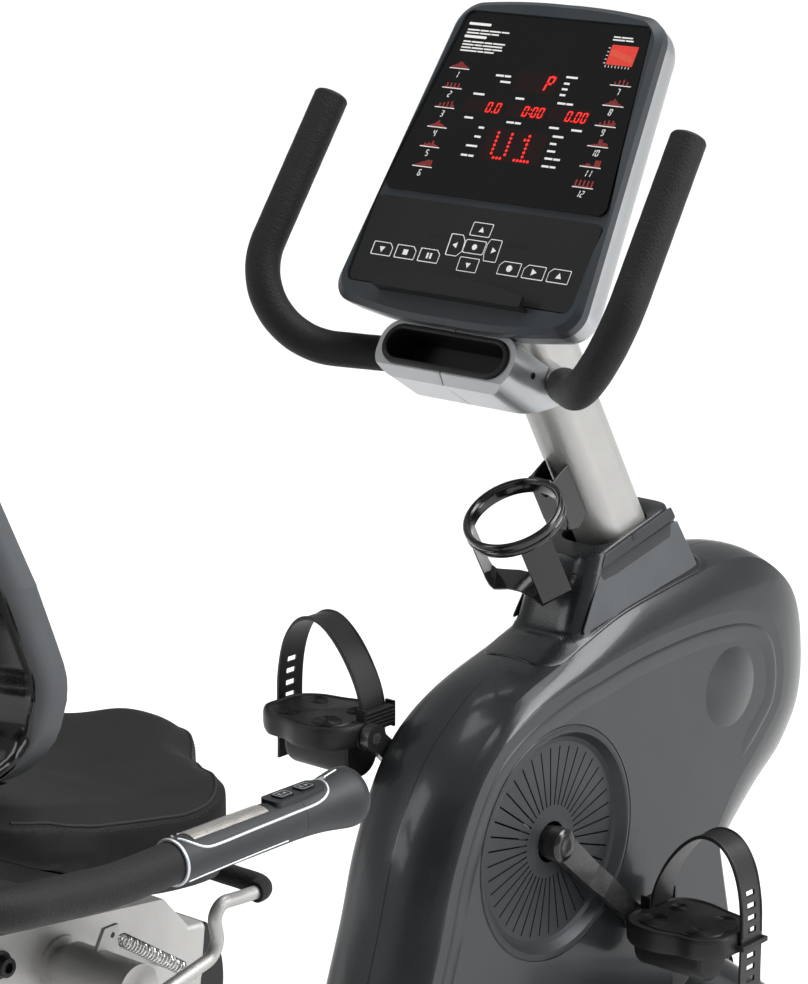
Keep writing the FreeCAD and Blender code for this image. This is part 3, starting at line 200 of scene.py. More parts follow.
SILVER = finish("silver_hammered", (0.36, 0.356, 0.345), 0.40, metal=0.6, vary=0.05, grain=650.0,
                depth=0.00022, wave=(180.0, 0.0002))
BLACK_PAINT = finish("black_paint", (0.008, 0.008, 0.0085), 0.25, coat=0.3, grain=500.0,
                     depth=0.00006, shine=0.3)
STEEL = finish("brushed_steel", (0.62, 0.60, 0.56), 0.3, metal=1.0, vary=0.06, grain=2500.0,
               depth=0.00003, stretch=(0.03, 1, 1))
IRON = finish("cast_iron", (0.11, 0.11, 0.11), 0.6, metal=0.7, grain=300.0, depth=0.0003)
ARM = finish("crank_gunmetal", (0.045, 0.045, 0.046), 0.3, metal=0.7, coat=0.3, grain=700.0, depth=0.00004)
SHROUD = finish("shroud_metallic", (0.022, 0.0245, 0.0265), 0.33, metal=0.5, coat=0.3, vary=0.08,
                grain=1600.0, depth=0.00005, wave=(6.0, 0.0005), shine=0.35)
COVER = finish("cover_satin", (0.027, 0.030, 0.033), 0.40, metal=0.4, grain=1400.0, depth=0.00005, shine=0.35)
COLLAR = finish("collar_gloss", (0.010, 0.0115, 0.013), 0.28, metal=0.3, coat=0.25, depth=0.00003, shine=0.35)
COLLAR_SIDE = finish("collar_side", (0.060, 0.067, 0.073), 0.36, metal=0.5, coat=0.1, grain=1400.0,
                     depth=0.00004)
BEZEL = finish("bezel_slate", (0.030, 0.036, 0.041), 0.40, metal=0.3, grain=1500.0, depth=0.00005, shine=0.4)
POD = finish("pod_silver", (0.35, 0.36, 0.37), 0.34, metal=0.8, vary=0.04, grain=1800.0, depth=0.00004)
PLASTIC = finish("black_plastic", (0.006, 0.006, 0.0063), 0.45, grain=1100.0, depth=0.0001, shine=0.28)
GLOSS = finish("gloss_black", (0.005, 0.005, 0.0055), 0.16, coat=0.35, grain=500.0, depth=0.00003, shine=0.3)
SCREEN = finish("display_window", (0.0028, 0.0028, 0.003), 0.22, grain=1500.0, depth=0.00001, shine=0.25)
KEYPAD = finish("membrane", (0.0055, 0.0058, 0.0062), 0.40, grain=2600.0, depth=0.00005, shine=0.3)
FOAM = finish("foam_pebbled", (0.008, 0.008, 0.0083), 0.60, vary=0.2, grain=1500.0, depth=0.00022,
              pebble=(420.0, 0.0004), sheen=0.02, shine=0.2)
RUBBER = finish("rubber", (0.007, 0.007, 0.0072), 0.5, grain=1200.0, depth=0.0001, shine=0.25)
STRAP = finish("strap_moulded", (0.008, 0.008, 0.0084), 0.40, depth=0.00012, shine=0.35)
TREAD = finish("pedal_tread", (0.006, 0.006, 0.0062), 0.46, depth=0.0002, pebble=(700.0, 0.00015), shine=0.3)
VINYL = finish("vinyl_grain", (0.0100, 0.0098, 0.0098), 0.62, vary=0.15, grain=2200.0, depth=0.00012,
               pebble=(900.0, 0.00014), wave=(45.0, 0.0004), shine=0.12)
GRIP = finish("grip_slate", (0.0125, 0.0145, 0.0165), 0.46, metal=0.1, grain=1500.0, depth=0.0001, shine=0.35)
TRIM = finish("trim_silver", (0.50, 0.52, 0.54), 0.32, metal=0.6, grain=1500.0, depth=0.00003)
ZINC = finish("zinc_plate", (0.60, 0.61, 0.60), 0.24, metal=1.0, grain=1200.0, depth=0.00004)
THREAD = finish("thread", (0.010, 0.010, 0.010), 0.7, grain=3000.0, depth=0.0002, shine=0.3)
BACK_GREY = finish("back_shell_grey", (0.055, 0.060, 0.065), 0.40, metal=0.3, grain=1500.0, depth=0.00005,
                   shine=0.4)
WHITE_INK = finish("white_print", (0.80, 0.80, 0.78), 0.5, vary=0.03, grain=1500.0, depth=0.00002)
RED_INK = finish("red_print", (0.25, 0.012, 0.010), 0.5, vary=0.2, grain=1500.0, depth=0.00002)
WINDOW = finish("led_window", (0.008, 0.001, 0.001), 0.2, grain=600.0, depth=0.00001, shine=0.3)
LED = glow("led_red", (1.0, 0.02, 0.015), 1.3)
# The printed chart's red and its band glow: painted glow, since the chart is print and no lamp.
CHART_PAINTED_GLOW = glow("chart_red_painted_glow", (1.0, 0.06, 0.04), 0.4)
CHART_BAND_PAINTED_GLOW = glow("chart_band_painted_glow", (1.0, 0.12, 0.06), 0.35)

SLOT_FINISH = {
    "frame_silver": SILVER, "frame_black": BLACK_PAINT, "steel": STEEL, "cast_iron": IRON, "shroud": SHROUD,
    "cover_grey": COVER, "collar": COLLAR, "bezel": BEZEL, "pod_silver": POD, "black_plastic": PLASTIC,
    "gloss_black": GLOSS, "screen": SCREEN, "foam": FOAM, "rubber": RUBBER, "strap": STRAP, "vinyl": VINYL,
    "grip_slate": GRIP, "zinc": ZINC,
}
NODE_SLOT = {part["node"]: part["material_slot"] for part in frame["record"]["subparts"]}
for node_name, node in frame["nodes"].items():
    node.data.materials.clear()
    node.data.materials.append(SLOT_FINISH[NODE_SLOT[node_name]])
frame["nodes"]["console_keypad"].data.materials[0] = KEYPAD
for side_name in ("left", "right"):
    frame["nodes"]["crank_arm_" + side_name].data.materials[0] = ARM


# ---- mesh helpers ----------------------------------------------------------------------------
SMOOTH_UNDER = math.radians(38)     # edges sharper than this stay sharp
SAME_PLACE = 1e-4
SIDES = (("left", 1), ("right", -1))


def new_object(name, vertices, faces, material):
    mesh = bpy.data.meshes.new(name)
    mesh.from_pydata([tuple(v) for v in vertices], [], faces)
    work = bmesh.new()
    work.from_mesh(mesh)
    bmesh.ops.recalc_face_normals(work, faces=work.faces)
    work.to_mesh(mesh)
    work.free()
    mesh.materials.append(material)
    mesh.shade_smooth()
    mesh.set_sharp_from_angle(angle=SMOOTH_UNDER)
    thing = bpy.data.objects.new(name, mesh)
    bpy.context.scene.collection.objects.link(thing)
    return thing


def piece(name, vertices, faces, material, body, slot, bevel=0.0, replaces=()):
    """A new piece on a body; bevel is in millimetres."""
    thing = new_object(name, vertices, faces, material)
    if bevel:
        rounding = thing.modifiers.new("edges", "BEVEL")
        rounding.width, rounding.segments, rounding.limit_method = bevel * MM, 3, "ANGLE"
        rounding.harden_normals = True
    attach(thing, body)
    if replaces:
        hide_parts(*replaces)
    return thing


class Parts:
    """Vertices and faces of several shapes, gathered into one piece."""

    def __init__(self):
        self.vertices, self.faces = [], []

    def take(self, vertices, faces):
        start = len(self.vertices)
        self.vertices += list(vertices)
        self.faces += [tuple(start + i for i in face) for face in faces]
        return self

    def skin(self, rings, caps=True, looped=False):
        """Faces between closed rings of equal length; looped joins the last ring to the first."""
        count = len(rings[0])
        vertices = [v for ring in rings for v in ring]
        faces = []
        rows = len(rings) if looped else len(rings) - 1
        for i in range(rows):
            j = (i + 1) % len(rings)
            for k in range(count):
                m = (k + 1) % count
                faces.append((i * count + k, i * count + m, j * count + m, j * count + k))
        if caps and not looped:
            faces.append(tuple(range(count)))
            faces.append(tuple((len(rings) - 1) * count + k for k in reversed(range(count))))
        return self.take(vertices, faces)

    def prism(self, outline, z0, z1, place):
        """A flat outline between two heights; place turns x, y, z into a point."""
        return self.skin([[place(x, y, z) for x, y in outline] for z in (z0, z1)])

    def tube(self, points, radius, sides=24, looped=False):
        """A round tube along points; radius is a number or one for each point, in metres."""
        radii = radius if isinstance(radius, (list, tuple)) else [radius] * len(points)
        return self.skin(rings_along(points, radii, sides, looped), looped=looped)

    def lathe(self, profile, origin, axis, sides=64):
        """Rings of (distance along the axis, radius), in millimetres."""
        axis = Vector(axis).normalized()
        across = axis.orthogonal().normalized()
        other = axis.cross(across)
        rings = []
        for along, radius in profile:
            rings.append([origin + axis * along * MM
                          + (across * math.cos(a) + other * math.sin(a)) * radius * MM
                          for a in turns(sides)])
        return self.skin(rings)

    def block(self, low, high, place):
        outline = rectangle((low[0], high[0]), (low[1], high[1]))
        return self.prism(outline, low[2], high[2], place)

    def make(self, name, material, body, **options):
        return piece(name, self.vertices, self.faces, material, body, **options)


def turns(count):
    return [2 * math.pi * i / count for i in range(count)]


def rings_along(points, radii, sides, looped=False):
    """Round sections across a path, carried along it without twisting; points may lie together."""
    count = len(points)
    rings, across = [], None
    for i, (point, radius) in enumerate(zip(points, radii)):
        along, reach = Vector((0, 0, 0)), 1
        while along.length < SAME_PLACE:
            before = points[(i - reach) % count] if looped else points[max(i - reach, 0)]
            after = points[(i + reach) % count] if looped else points[min(i + reach, count - 1)]
            along = after - before
            reach += 1
        along.normalize()
        across = along.orthogonal() if across is None else across - along * across.dot(along)
        across.normalize()
        other = along.cross(across)
        rings.append([point + (across * math.cos(a) + other * math.sin(a)) * radius for a in turns(sides)])
    return rings


def bent_path(points, radii, step=4.0):
    """Points along straight runs joined by arcs, as a bent tube runs; millimetres in, metres out."""
    points = [Vector(p) for p in points]
    path = [points[0]]

    def run_to(end):
        start = path[-1].copy()
        count = max(1, round((end - start).length / step))
        path.extend(start.lerp(end, (i + 1) / count) for i in range(count))

    for before, corner, after, radius in zip(points, points[1:], points[2:], radii):
        back, on = (before - corner).normalized(), (after - corner).normalized()
        half = back.angle(on) / 2
        reach = radius / math.tan(half)
        centre = corner + (back + on).normalized() * radius / math.sin(half)
        run_to(corner + back * reach)
        start, sweep = path[-1] - centre, math.pi - 2 * half
        axis = start.cross(-back)
        count = max(4, round(radius * sweep / step))
        for i in range(count):
            path.append(centre + Matrix.Rotation(sweep * (i + 1) / count, 3, axis) @ start)
    run_to(points[-1])
    return [at(*p) for p in path]


def curve(before, start, end, after, t):
    """A point on the smooth curve from start to end, given the points on either side of them."""
    return 0.5 * (2 * start + (end - before) * t + (2 * before - 5 * start + 4 * end - after) * t ** 2
                  + (3 * start - before - 3 * end + after) * t ** 3)


def smooth_line(points, count, closed=False):
    """Points evenly spread along a smooth curve through the given ones."""
    points = [Vector(p) for p in points]
    n = len(points)
    fine = []
    for i in range(n if closed else n - 1):
        p1, p2 = points[i], points[(i + 1) % n]
        p0 = points[i - 1] if i or closed else p1 * 2 - p2
        p3 = points[(i + 2) % n] if i + 2 < n or closed else p2 * 2 - p1
        fine += [curve(p0, p1, p2, p3, k / 16) for k in range(16)]
    fine.append(points[0] if closed else points[-1])
    lengths = [0.0]
    for a, b in zip(fine, fine[1:]):
        lengths.append(lengths[-1] + (b - a).length)
    steps = count if closed else count - 1
    even, k = [], 0
    for i in range(count):
        want = lengths[-1] * i / steps
        while k < len(lengths) - 2 and lengths[k + 1] < want:
            k += 1
        share = (want - lengths[k]) / max(lengths[k + 1] - lengths[k], 1e-9)
        even.append(fine[k].lerp(fine[k + 1], min(1.0, share)))
    return even


def runs(line):
    """The direction of a line at each of its points."""
    last = len(line) - 1
    return [(line[min(i + 1, last)] - line[max(i - 1, 0)]).normalized() for i in range(last + 1)]


def rounded_outline(corners, radius, steps=5):
    """A closed 2-D outline with its corners rounded."""
    points = [Vector(c) for c in corners]
    out = []
    for before, corner, after in zip(points[-1:] + points, points, points[1:] + points[:1]):
        back, on = (before - corner).normalized(), (after - corner).normalized()
        half = back.angle(on) / 2
        reach = min(radius / math.tan(half), (before - corner).length * 0.48, (after - corner).length * 0.48)
        first, last = corner + back * reach, corner + on * reach
        for i in range(steps + 1):
            t = i / steps
            out.append(tuple(first * (1 - t) ** 2 + corner * 2 * t * (1 - t) + last * t ** 2))
    return out


def rectangle(x, y, radius=0.0):
    corners = [(x[0], y[0]), (x[1], y[0]), (x[1], y[1]), (x[0], y[1])]
    return rounded_outline(corners, radius) if radius else corners


def disc(x, y, radius, count=20):
    return [(x + radius * math.cos(a), y + radius * math.sin(a)) for a in turns(count)]


# ---- camera, light and floor -----------------------------------------------------------------
CAMERA_LENS = 125.56
CAMERA_BACK = Vector((-0.7358, -0.6302, 0.2477))
CAMERA_UP = Vector((0.1881, 0.1611, 0.9688))
CAMERA_RIGHT = Vector((0.6505, -0.7595, 0.0))
CAMERA_AT = CRANK + Vector((-2579, -2070, 1200)) * MM


def add_camera():
    data = bpy.data.cameras.new("camera")
    data.lens, data.sensor_width = CAMERA_LENS, 36.0
    data.clip_start, data.clip_end = 0.05, 100.0
    camera = bpy.data.objects.new("camera", data)
    camera.matrix_world = Matrix((
        (CAMERA_RIGHT.x, CAMERA_UP.x, CAMERA_BACK.x, CAMERA_AT.x),
        (CAMERA_RIGHT.y, CAMERA_UP.y, CAMERA_BACK.y, CAMERA_AT.y),
        (CAMERA_RIGHT.z, CAMERA_UP.z, CAMERA_BACK.z, CAMERA_AT.z),
        (0, 0, 0, 1)))
    bpy.context.scene.collection.objects.link(camera)
    bpy.context.scene.camera = camera


def add_light(name, place, target, size, power):
    data = bpy.data.lights.new(name, "AREA")
    data.shape, data.size, data.size_y = "RECTANGLE", size[0], size[1]
    data.energy = power
    light = bpy.data.objects.new(name, data)
    light.location = place
    light.rotation_euler = (Vector(target) - Vector(place)).to_track_quat("-Z", "Y").to_euler()
    bpy.context.scene.collection.objects.link(light)


def add_stage():
    world = bpy.data.worlds.new("studio")
    world.use_nodes = True
    world.node_tree.nodes["Background"].inputs["Color"].default_value = (1, 1, 1, 1)
    world.node_tree.nodes["Background"].inputs["Strength"].default_value = 0.42
    bpy.context.scene.world = world
    bpy.context.scene.view_settings.view_transform = "Standard"
    floor_finish = finish("pale_floor", (0.88, 0.88, 0.88), 0.9, vary=0.01, grain=60.0, depth=0.0001)
    reach = 60.0
    corners = [(-reach, -reach, 0), (reach, -reach, 0), (reach, reach, 0), (-reach, reach, 0)]
    floor = new_object("floor", corners, [(0, 1, 2, 3)], floor_finish)
    floor.location.z = -0.0005
    sun = bpy.data.lights.new("sun", "SUN")
    sun.energy, sun.angle = 3.4, math.radians(40)
    daylight = bpy.data.objects.new("sun", sun)
    daylight.rotation_euler = Vector((-0.5, 0.75, -1.0)).to_track_quat("-Z", "Y").to_euler()
    bpy.context.scene.collection.objects.link(daylight)
    add_light("right", (1.6, -2.6, 1.5), (0.3, 0, 0.7), (0.9, 2.4), 38.0)
    add_light("rear", (-2.6, 1.8, 1.9), (0.0, 0, 0.7), (1.0, 1.8), 22.0)
    add_light("top", (0.6, 0.2, 3.2), (0.3, 0, 0.6), (2.4, 1.2), 38.0)


add_camera()
add_stage()


# ---- console ---------------------------------------------------------------------------------
FACE = 1.0                          # height of the display window's face
PRINT = 0.18                        # how far printed marks stand off, so that they show
LIT = 0.14                          # how far the lit figures stand off the window
KEY_FACE = 0.6                      # height of the key panel's face


def ink(outlines, base):
    """Thin printed shapes on the console, standing on the height base."""
    parts = Parts()
    for outline in outlines:
        parts.prism(outline, base, base + PRINT, on_console)
    return parts


def bars_of_text(x, y, length, height=1.7, words=(0.35, 0.25, 0.4)):
    """A line of small print, shown as plain dashes."""
    marks, start = [], x
    for word in words:
        end = start + length * word
        marks.append(rectangle((start, end - 1.2), (y, y + height)))
        start = end
    return marks


SEGMENTS = {"0": "abcdef", "1": "bc", "2": "abged", "3": "abgcd", "4": "fgbc", "5": "afgcd", "6": "afgedc",
            "7": "abc", "8": "abcdefg", "9": "abcdfg", "P": "abefg"}


def seven_segments(text, right, low, height, pitch):
    """Slanted seven-segment figures that end at right."""
    thick, slant = height * 0.13, 0.17
    width = height * 0.52
    shapes = []
    x = right - pitch * sum(0.35 if c in ".:" else 1 for c in text)

    def shape(corners, left):
        shapes.append([(left + cx + cy * slant, low + cy) for cx, cy in corners])

    for c in text:
        if c in ".:":
            heights = (height * 0.02,) if c == "." else (height * 0.25, height * 0.65)
            for y in heights:
                shape(rectangle((0, thick), (y, y + thick)), x)
            x += pitch * 0.35
            continue
        gap, half = thick * 0.25, height / 2
        for s in SEGMENTS[c]:
            if s in "agd":
                y = {"a": height - thick, "g": half - thick / 2, "d": 0}[s]
                shape([(thick * 0.6 + gap, y), (width - thick * 0.6 - gap, y),
                       (width - thick - gap, y + thick), (thick + gap, y + thick)], x)
            else:
                side = 0 if s in "ef" else width - thick
                y0 = gap if s in "ec" else half + gap
                shape([(side, y0), (side + thick, y0 + thick * 0.5), (side + thick, y0 + half - thick * 0.7),
                       (side, y0 + half - gap * 2)], x)
        x += pitch
    return shapes


PROGRAM_LEVELS = [(2, 3, 4, 6, 7, 6, 4, 3, 2), (1, 5, 1, 5, 1, 5, 1, 5, 1), (1, 4, 0, 5, 0, 6, 0, 7, 3),
                  (1, 2, 3, 5, 7, 4, 3, 2, 1), (1, 3, 2, 4, 3, 6, 3, 2, 1), (1, 2, 3, 4, 5, 6, 7, 7, 7),
                  (0, 3, 0, 5, 0, 6, 0, 4, 0), (1, 2, 4, 5, 7, 5, 3, 2, 1), (1, 3, 1, 5, 2, 6, 3, 6, 4),
                  (1, 1, 2, 2, 7, 7, 4, 4, 3), (1, 1, 3, 3, 1, 1, 7, 7, 7), (7, 1, 7, 1, 7, 1, 7, 1, 7)]


def console_print():
    white, red = [], []
    for i, levels in enumerate(PROGRAM_LEVELS):
        left = -111.5 if i < 6 else 88.0
        base = 234.0 - (i % 6) * 21.5
        white.append(rectangle((left, left + 25), (base, base + 0.9)))
        for k, level in enumerate(levels):
            x = left + 2 + k * 2.4
            if level:
                red.append(rectangle((x, x + 1.9), (base + 1.1, base + 1.1 + level)))
        number = str(i + 1)
        width = 5.0 * len(number)
        for s in seven_segments(number, left + 12.5 + width / 2, base - 9.6, 7.0, 5.0):
            white.append(s)
    for y in (282.5, 268.5):
        white.append(rectangle((-108, -80), (y, y + 2.8), 1.3))
    for y, length, words in ((276.5, 54, (0.3, 0.22, 0.28, 0.2)), (273.2, 42, (0.4, 0.35, 0.25)),
                             (263.6, 54, (0.2, 0.3, 0.2, 0.3)), (260.3, 52, (0.3, 0.2, 0.5)),
                             (257.0, 53, (0.25, 0.3, 0.2, 0.25)), (253.7, 44, (0.5, 0.2, 0.3))):
        white += bars_of_text(-107, y, length, 1.5, words)
    white += bars_of_text(72, 283.5, 24, 1.4, (0.4, 0.6)) + bars_of_text(72, 280.5, 26, 1.4, (0.6, 0.4))
    for x in range(74, 106, 4):
        white.append(rectangle((x, x + 0.7), (252.0, 254.2)))
    for y in range(256, 276, 4):
        white.append(rectangle((70.8, 73.0), (y, y + 0.7)))
    labels = [(-51, 230.6, 20), (-43, 224.4, 14), (34, 236.5, 15), (34, 229.6, 8), (34, 223.6, 8),
              (34, 217.4, 8), (-70, 208.8, 15), (-17, 208.8, 12), (35, 208.6, 20), (-70, 183, 12),
              (-17, 183, 19), (36, 182.6, 13), (63, 182.6, 14), (-48, 174, 8), (-49, 164.2, 9),
              (-55, 154, 15), (-57, 143.6, 17), (44, 174, 14), (44, 166.2, 9), (44, 158.4, 11),
              (44, 150.6, 20), (44, 142.4, 18)]
    for x, y, length in labels:
        white += bars_of_text(x, y, length, 2.1, (1.0,) if length < 16 else (0.55, 0.45))
    ink(white, FACE).make("console_white_print", WHITE_INK, "frame", slot="screen")
    ink(red, FACE).make("console_program_bars", RED_INK, "frame", slot="screen")


def console_lights():
    windows = [((-24, 26.5), (217.5, 240)), ((-75, -27), (189.5, 205.5)), ((-23, 26), (189.5, 205.5)),
               ((30, 79.5), (189.5, 206.5)), ((-34, 39.5), (142, 177.5))]
    ink([rectangle(x, y, 0.8) for x, y in windows], FACE - 0.06).make(
        "console_led_windows", WINDOW, "frame", slot="screen")
    lit = seven_segments("P", 22.5, 220, 17, 11)
    lit += seven_segments("0.0", -29.5, 191.5, 11.5, 8)
    lit += seven_segments("0:00", 24.0, 191.5, 11.5, 8)
    lit += seven_segments("0.00", 77.0, 191.5, 11.5, 8)
    parts = ink(lit, FACE + LIT)
    glyphs = ["10001", "10001", "10001", "10001", "10001", "10001", "01110"], \
             ["00100", "01100", "00100", "00100", "00100", "00100", "11111"]
    for x0, rows in zip((-21, 9), glyphs):
        for r, row in enumerate(rows):
            for c, on in enumerate(row):
                if on == "1":
                    x, y = x0 + c * 4.2, 172 - r * 4.4
                    parts.prism(disc(x, y, 1.55, 10), FACE + LIT, FACE + LIT + PRINT, on_console)
    parts.make("console_led_figures", LED, "frame", slot="screen")
    # The printed chart and its red band are made to glow: painted light on print.
    ink([rectangle((74, 105.5), (255, 276))], FACE).make("console_chart", CHART_PAINTED_GLOW, "frame", slot="screen")
    ink([[(75, 271.5), (104.5, 264), (104.5, 257.5), (75, 265)]], FACE + PRINT).make(
        "console_chart_band", CHART_BAND_PAINTED_GLOW, "frame", slot="screen")


def outlined(parts, outline, width=0.75):
    """A key's printed outline, as a thin closed band."""
    mid_x, mid_y = (sum(p[axis] for p in outline) / len(outline) for axis in (0, 1))
    shrink_x = 1 - width / (max(x for x, _ in outline) - mid_x)
    shrink_y = 1 - width / (max(y for _, y in outline) - mid_y)
    inner = [(mid_x + (x - mid_x) * shrink_x, mid_y + (y - mid_y) * shrink_y) for x, y in outline]
    top = KEY_FACE + PRINT
    rings = []
    for line, z in ((outline, KEY_FACE), (outline, top), (inner, top), (inner, KEY_FACE)):
        rings.append([on_console(x, y, z) for x, y in line])
    parts.skin(rings, looped=True)


def chamfered(x, y, corner, cut=4.5):
    """A rectangle with one upper corner cut off: 1 for the right corner, -1 for the left."""
    top = [(x[1], y[1] - cut), (x[1] - cut, y[1]), (x[0], y[1])] if corner > 0 else \
          [(x[1], y[1]), (x[0] + cut, y[1]), (x[0], y[1] - cut)]
    return rounded_outline([(x[0], y[0]), (x[1], y[0])] + top, 1.2, 3)


def triangle(x, y, size, angle):
    return [(x + size * math.cos(angle + a), y + size * math.sin(angle + a)) for a in turns(3)]


def console_keys():
    white = Parts()
    for x in (-122, -92, -62):
        outlined(white, chamfered((x, x + 25.5), (29.5, 43.8), 1))
    for x in (38, 68, 98):
        outlined(white, chamfered((x, x + 26), (28.6, 43), -1))
    cross = [[(-11, 63.5), (14, 63.5), (14.5, 78), (-10.5, 78)],
             [(-11, 26), (13.5, 26), (13, 41), (-11.5, 41)],
             [(-31, 40), (-17, 40), (-11.5, 46), (-12.5, 57), (-17, 63), (-32, 63)],
             [(17, 39.5), (32.5, 39.5), (31.5, 63), (17, 63), (15, 57), (15, 46)]]
    for corners in cross:
        outlined(white, rounded_outline(corners, 1.5, 3))
    outlined(white, rounded_outline([(-12, 45), (14, 45), (14, 59.5), (-12, 59.5)], 2.5, 3))
    icons = [triangle(-109.5, 36.8, 4, -math.pi / 2), triangle(111, 35.4, 4, math.pi / 2),
             rectangle((-82.5, -76.5), (33.8, 39.4)), rectangle((-52.5, -50.2), (33.6, 39.6)),
             rectangle((-48.4, -46.1), (33.6, 39.6)), triangle(80.2, 36, 4, 0),
             triangle(2, 70, 3.6, math.pi / 2), triangle(1, 33.5, 3.6, -math.pi / 2),
             triangle(-22.5, 51.5, 3.6, math.pi), triangle(24.5, 51.5, 3.6, 0)]
    icons += [disc(51, 36, 3.4), disc(1, 52.2, 3.0)]
    for outline in icons:
        white.prism(outline, KEY_FACE, KEY_FACE + PRINT, on_console)
    white.make("console_key_print", WHITE_INK, "frame", slot="black_plastic")
    slots = Parts()
    for x in (-60, 36):
        slots.prism(rectangle((x, x + 25.5), (57.6, 63.0), 2.6), KEY_FACE - 0.4, KEY_FACE + 0.12, on_console)
    slots.make("console_sensor_windows", GLOSS, "frame", slot="gloss_black")


console_print()
console_lights()
console_keys()
frame["nodes"]["console_housing"].data.materials[0] = POD
frame["nodes"]["console_ledge"].data.materials[0] = PLASTIC


# ---- collar round the mast's foot ------------------------------------------------------------
def surface_of(*nodes):
    """A search tree of the CAD nodes' surfaces."""
    vertices, faces = [], []
    for name in nodes:
        node = frame["nodes"][name]
        start = len(vertices)
        vertices += [node.matrix_world @ v.co for v in node.data.vertices]
        faces += [tuple(start + i for i in face.vertices) for face in node.data.polygons]
    return BVHTree.FromPolygons(vertices, faces)


SHROUD_SKIN = surface_of("shroud_left", "shroud_right")


def above_shroud(x, y, lift):
    """The point this far above the shroud, looking down on it."""
    hit = SHROUD_SKIN.ray_cast(at(x, y, 600), Vector((0, 0, -1)))[0]
    return Vector((hit.x, hit.y, hit.z + lift * MM))


def rounded_span(front, rear, half, radius, count=7):
    """A rounded rectangle in plan, with points along its straight sides too."""
    plan = rounded_outline([(front, -half), (rear, -half), (rear, half), (front, half)], radius, count)
    dense = []
    for a, b in zip(plan, plan[1:] + plan[:1]):
        a, b = Vector(a), Vector(b)
        parts = max(1, round((b - a).length / 12))
        dense += [a.lerp(b, i / parts) for i in range(parts)]
    return dense


def collar_ring(front, rear, half, radius, count=96):
    """Evenly spread points of a rounded rectangle whose height runs from the front to the rear."""
    plan = rounded_span(front[0], rear[0], half, radius)
    middle_x = (front[0] + rear[0]) / 2
    ring = []
    for angle in turns(count):
        ray = Vector((math.cos(angle) * (rear[0] - front[0]) / 2, math.sin(angle) * half))
        best = ray_to_outline(plan, Vector((middle_x, 0)), ray)
        share = (best.x - front[0]) / (rear[0] - front[0])
        ring.append((best.x, best.y, front[1] + (rear[1] - front[1]) * share))
    return ring


def ray_to_outline(plan, origin, ray):
    """Where a ray from inside an outline leaves it."""
    for a, b in zip(plan, plan[1:] + plan[:1]):
        side = b - a
        cross = ray.x * side.y - ray.y * side.x
        if abs(cross) < 1e-9:
            continue
        gap = a - origin
        along = (gap.x * side.y - gap.y * side.x) / cross
        share = (gap.x * ray.y - gap.y * ray.x) / cross
        if along > 0 and -1e-6 <= share <= 1 + 1e-6:
            return a + side * share
    return origin + ray


def between_rings(rings, steps=4):
    """The same rings with smoothly curved ones between them."""
    columns = []
    for column in zip(*rings):
        points = [2 * column[0] - column[1], *column, 2 * column[-1] - column[-2]]
        line = [points[1]]
        for four in zip(points, points[1:], points[2:], points[3:]):
            line += [curve(*four, i / steps) for i in range(1, steps + 1)]
        columns.append(line)
    return [list(ring) for ring in zip(*columns)]


def mast_collar():
    """Moulded cover that flares from the mast into the shroud's spine."""
    levels = [((122, 262), (206, 282), 31.6, 24), ((113, 278.5), (200, 298), 31.6, 24),
              ((112, 280), (202, 300.5), 33.0, 25), ((90, 275), (219, 306.5), 37.6, 22),
              ((86.5, 273.2), (222, 305.5), 38.8, 22), ((85.5, 270), (224, 302), 39.4, 22),
              ((77.5, 256), (232, 290.5), 41.0, 23), ((75.8, 255), (233.4, 289.5), 42.0, 24),
              ((66, 229), (250, 262), 43.4, 25), ((56, 205), (266, 237), 44.8, 26),
              ((50, 198), (271, 232), 45.6, 27)]
    rings = [[at(*p) for p in collar_ring(*level)] for level in levels]
    for front, rear, half, lift in ((42, 276, 46.4, 3.2), (28, 282, 47.2, 1.9), (5, 290, 47.9, 1.3),
                                    (3.4, 291, 48.4, 0.7), (3.0, 291.4, 48.6, -0.6)):
        ring = collar_ring((front, 0), (rear, 0), half, 30)
        rings.append([above_shroud(x, y, lift) for x, y, _ in ring])
    parts = Parts()
    parts.skin(rings[:5] + between_rings(rings[5:-1]) + rings[-1:], caps=False)
    parts.make("mast_collar_shell", COLLAR, "frame", slot="collar", replaces=("mast_collar",))
    lower = [(61, 201), (257, 234), (226, 287.5), (95.5, 257)]
    upper = [(96.5, 260), (224.5, 290.5), (217, 303.5), (105, 275)]
    for name, corners, material in (("panel", lower, COLLAR_SIDE), ("band", upper, COVER)):
        for side, sign in reversed(SIDES):
            plate = collar_plate(corners, sign)
            plate.make(f"collar_{name}_{side}", material, "frame", slot="collar", bevel=0.9)
    screw = Parts()
    for sign in (-1, 1):
        screw.prism(disc(153, 284.5, 3.6), 1.0, 1.75, lambda x, z, h: collar_side(x, z, h, sign))
    screw.make("collar_screw_holes", GLOSS, "frame", slot="gloss_black")


def collar_side(x, z, out, sign):
    """A point on the collar's side wall, out from it by a distance."""
    top, low = 272 + (x - 85) * 0.234, 203 + (x - 56) * 0.157
    share = (top - z) / (top - low)
    return at(x, sign * (38.9 + 6.3 * share + out), z)


def collar_plate(corners, sign):
    parts = Parts()
    outline = rounded_outline(corners, 3.0, 3)
    return parts.prism(outline, -0.5, 1.3, lambda x, z, h: collar_side(x, z, h, sign))


mast_collar()


# ---- cup holder ------------------------------------------------------------------------------
MAST_LEAN = math.radians(30)
CUP_X, CUP_Z = 7.0, 328.0


def on_cup(x, y, z):
    """x towards the mast, y to the rider's left and z along the mast, from the ring's middle."""
    return at(CUP_X + x * math.cos(MAST_LEAN) - z * math.sin(MAST_LEAN), y,
              CUP_Z + x * math.sin(MAST_LEAN) + z * math.cos(MAST_LEAN))


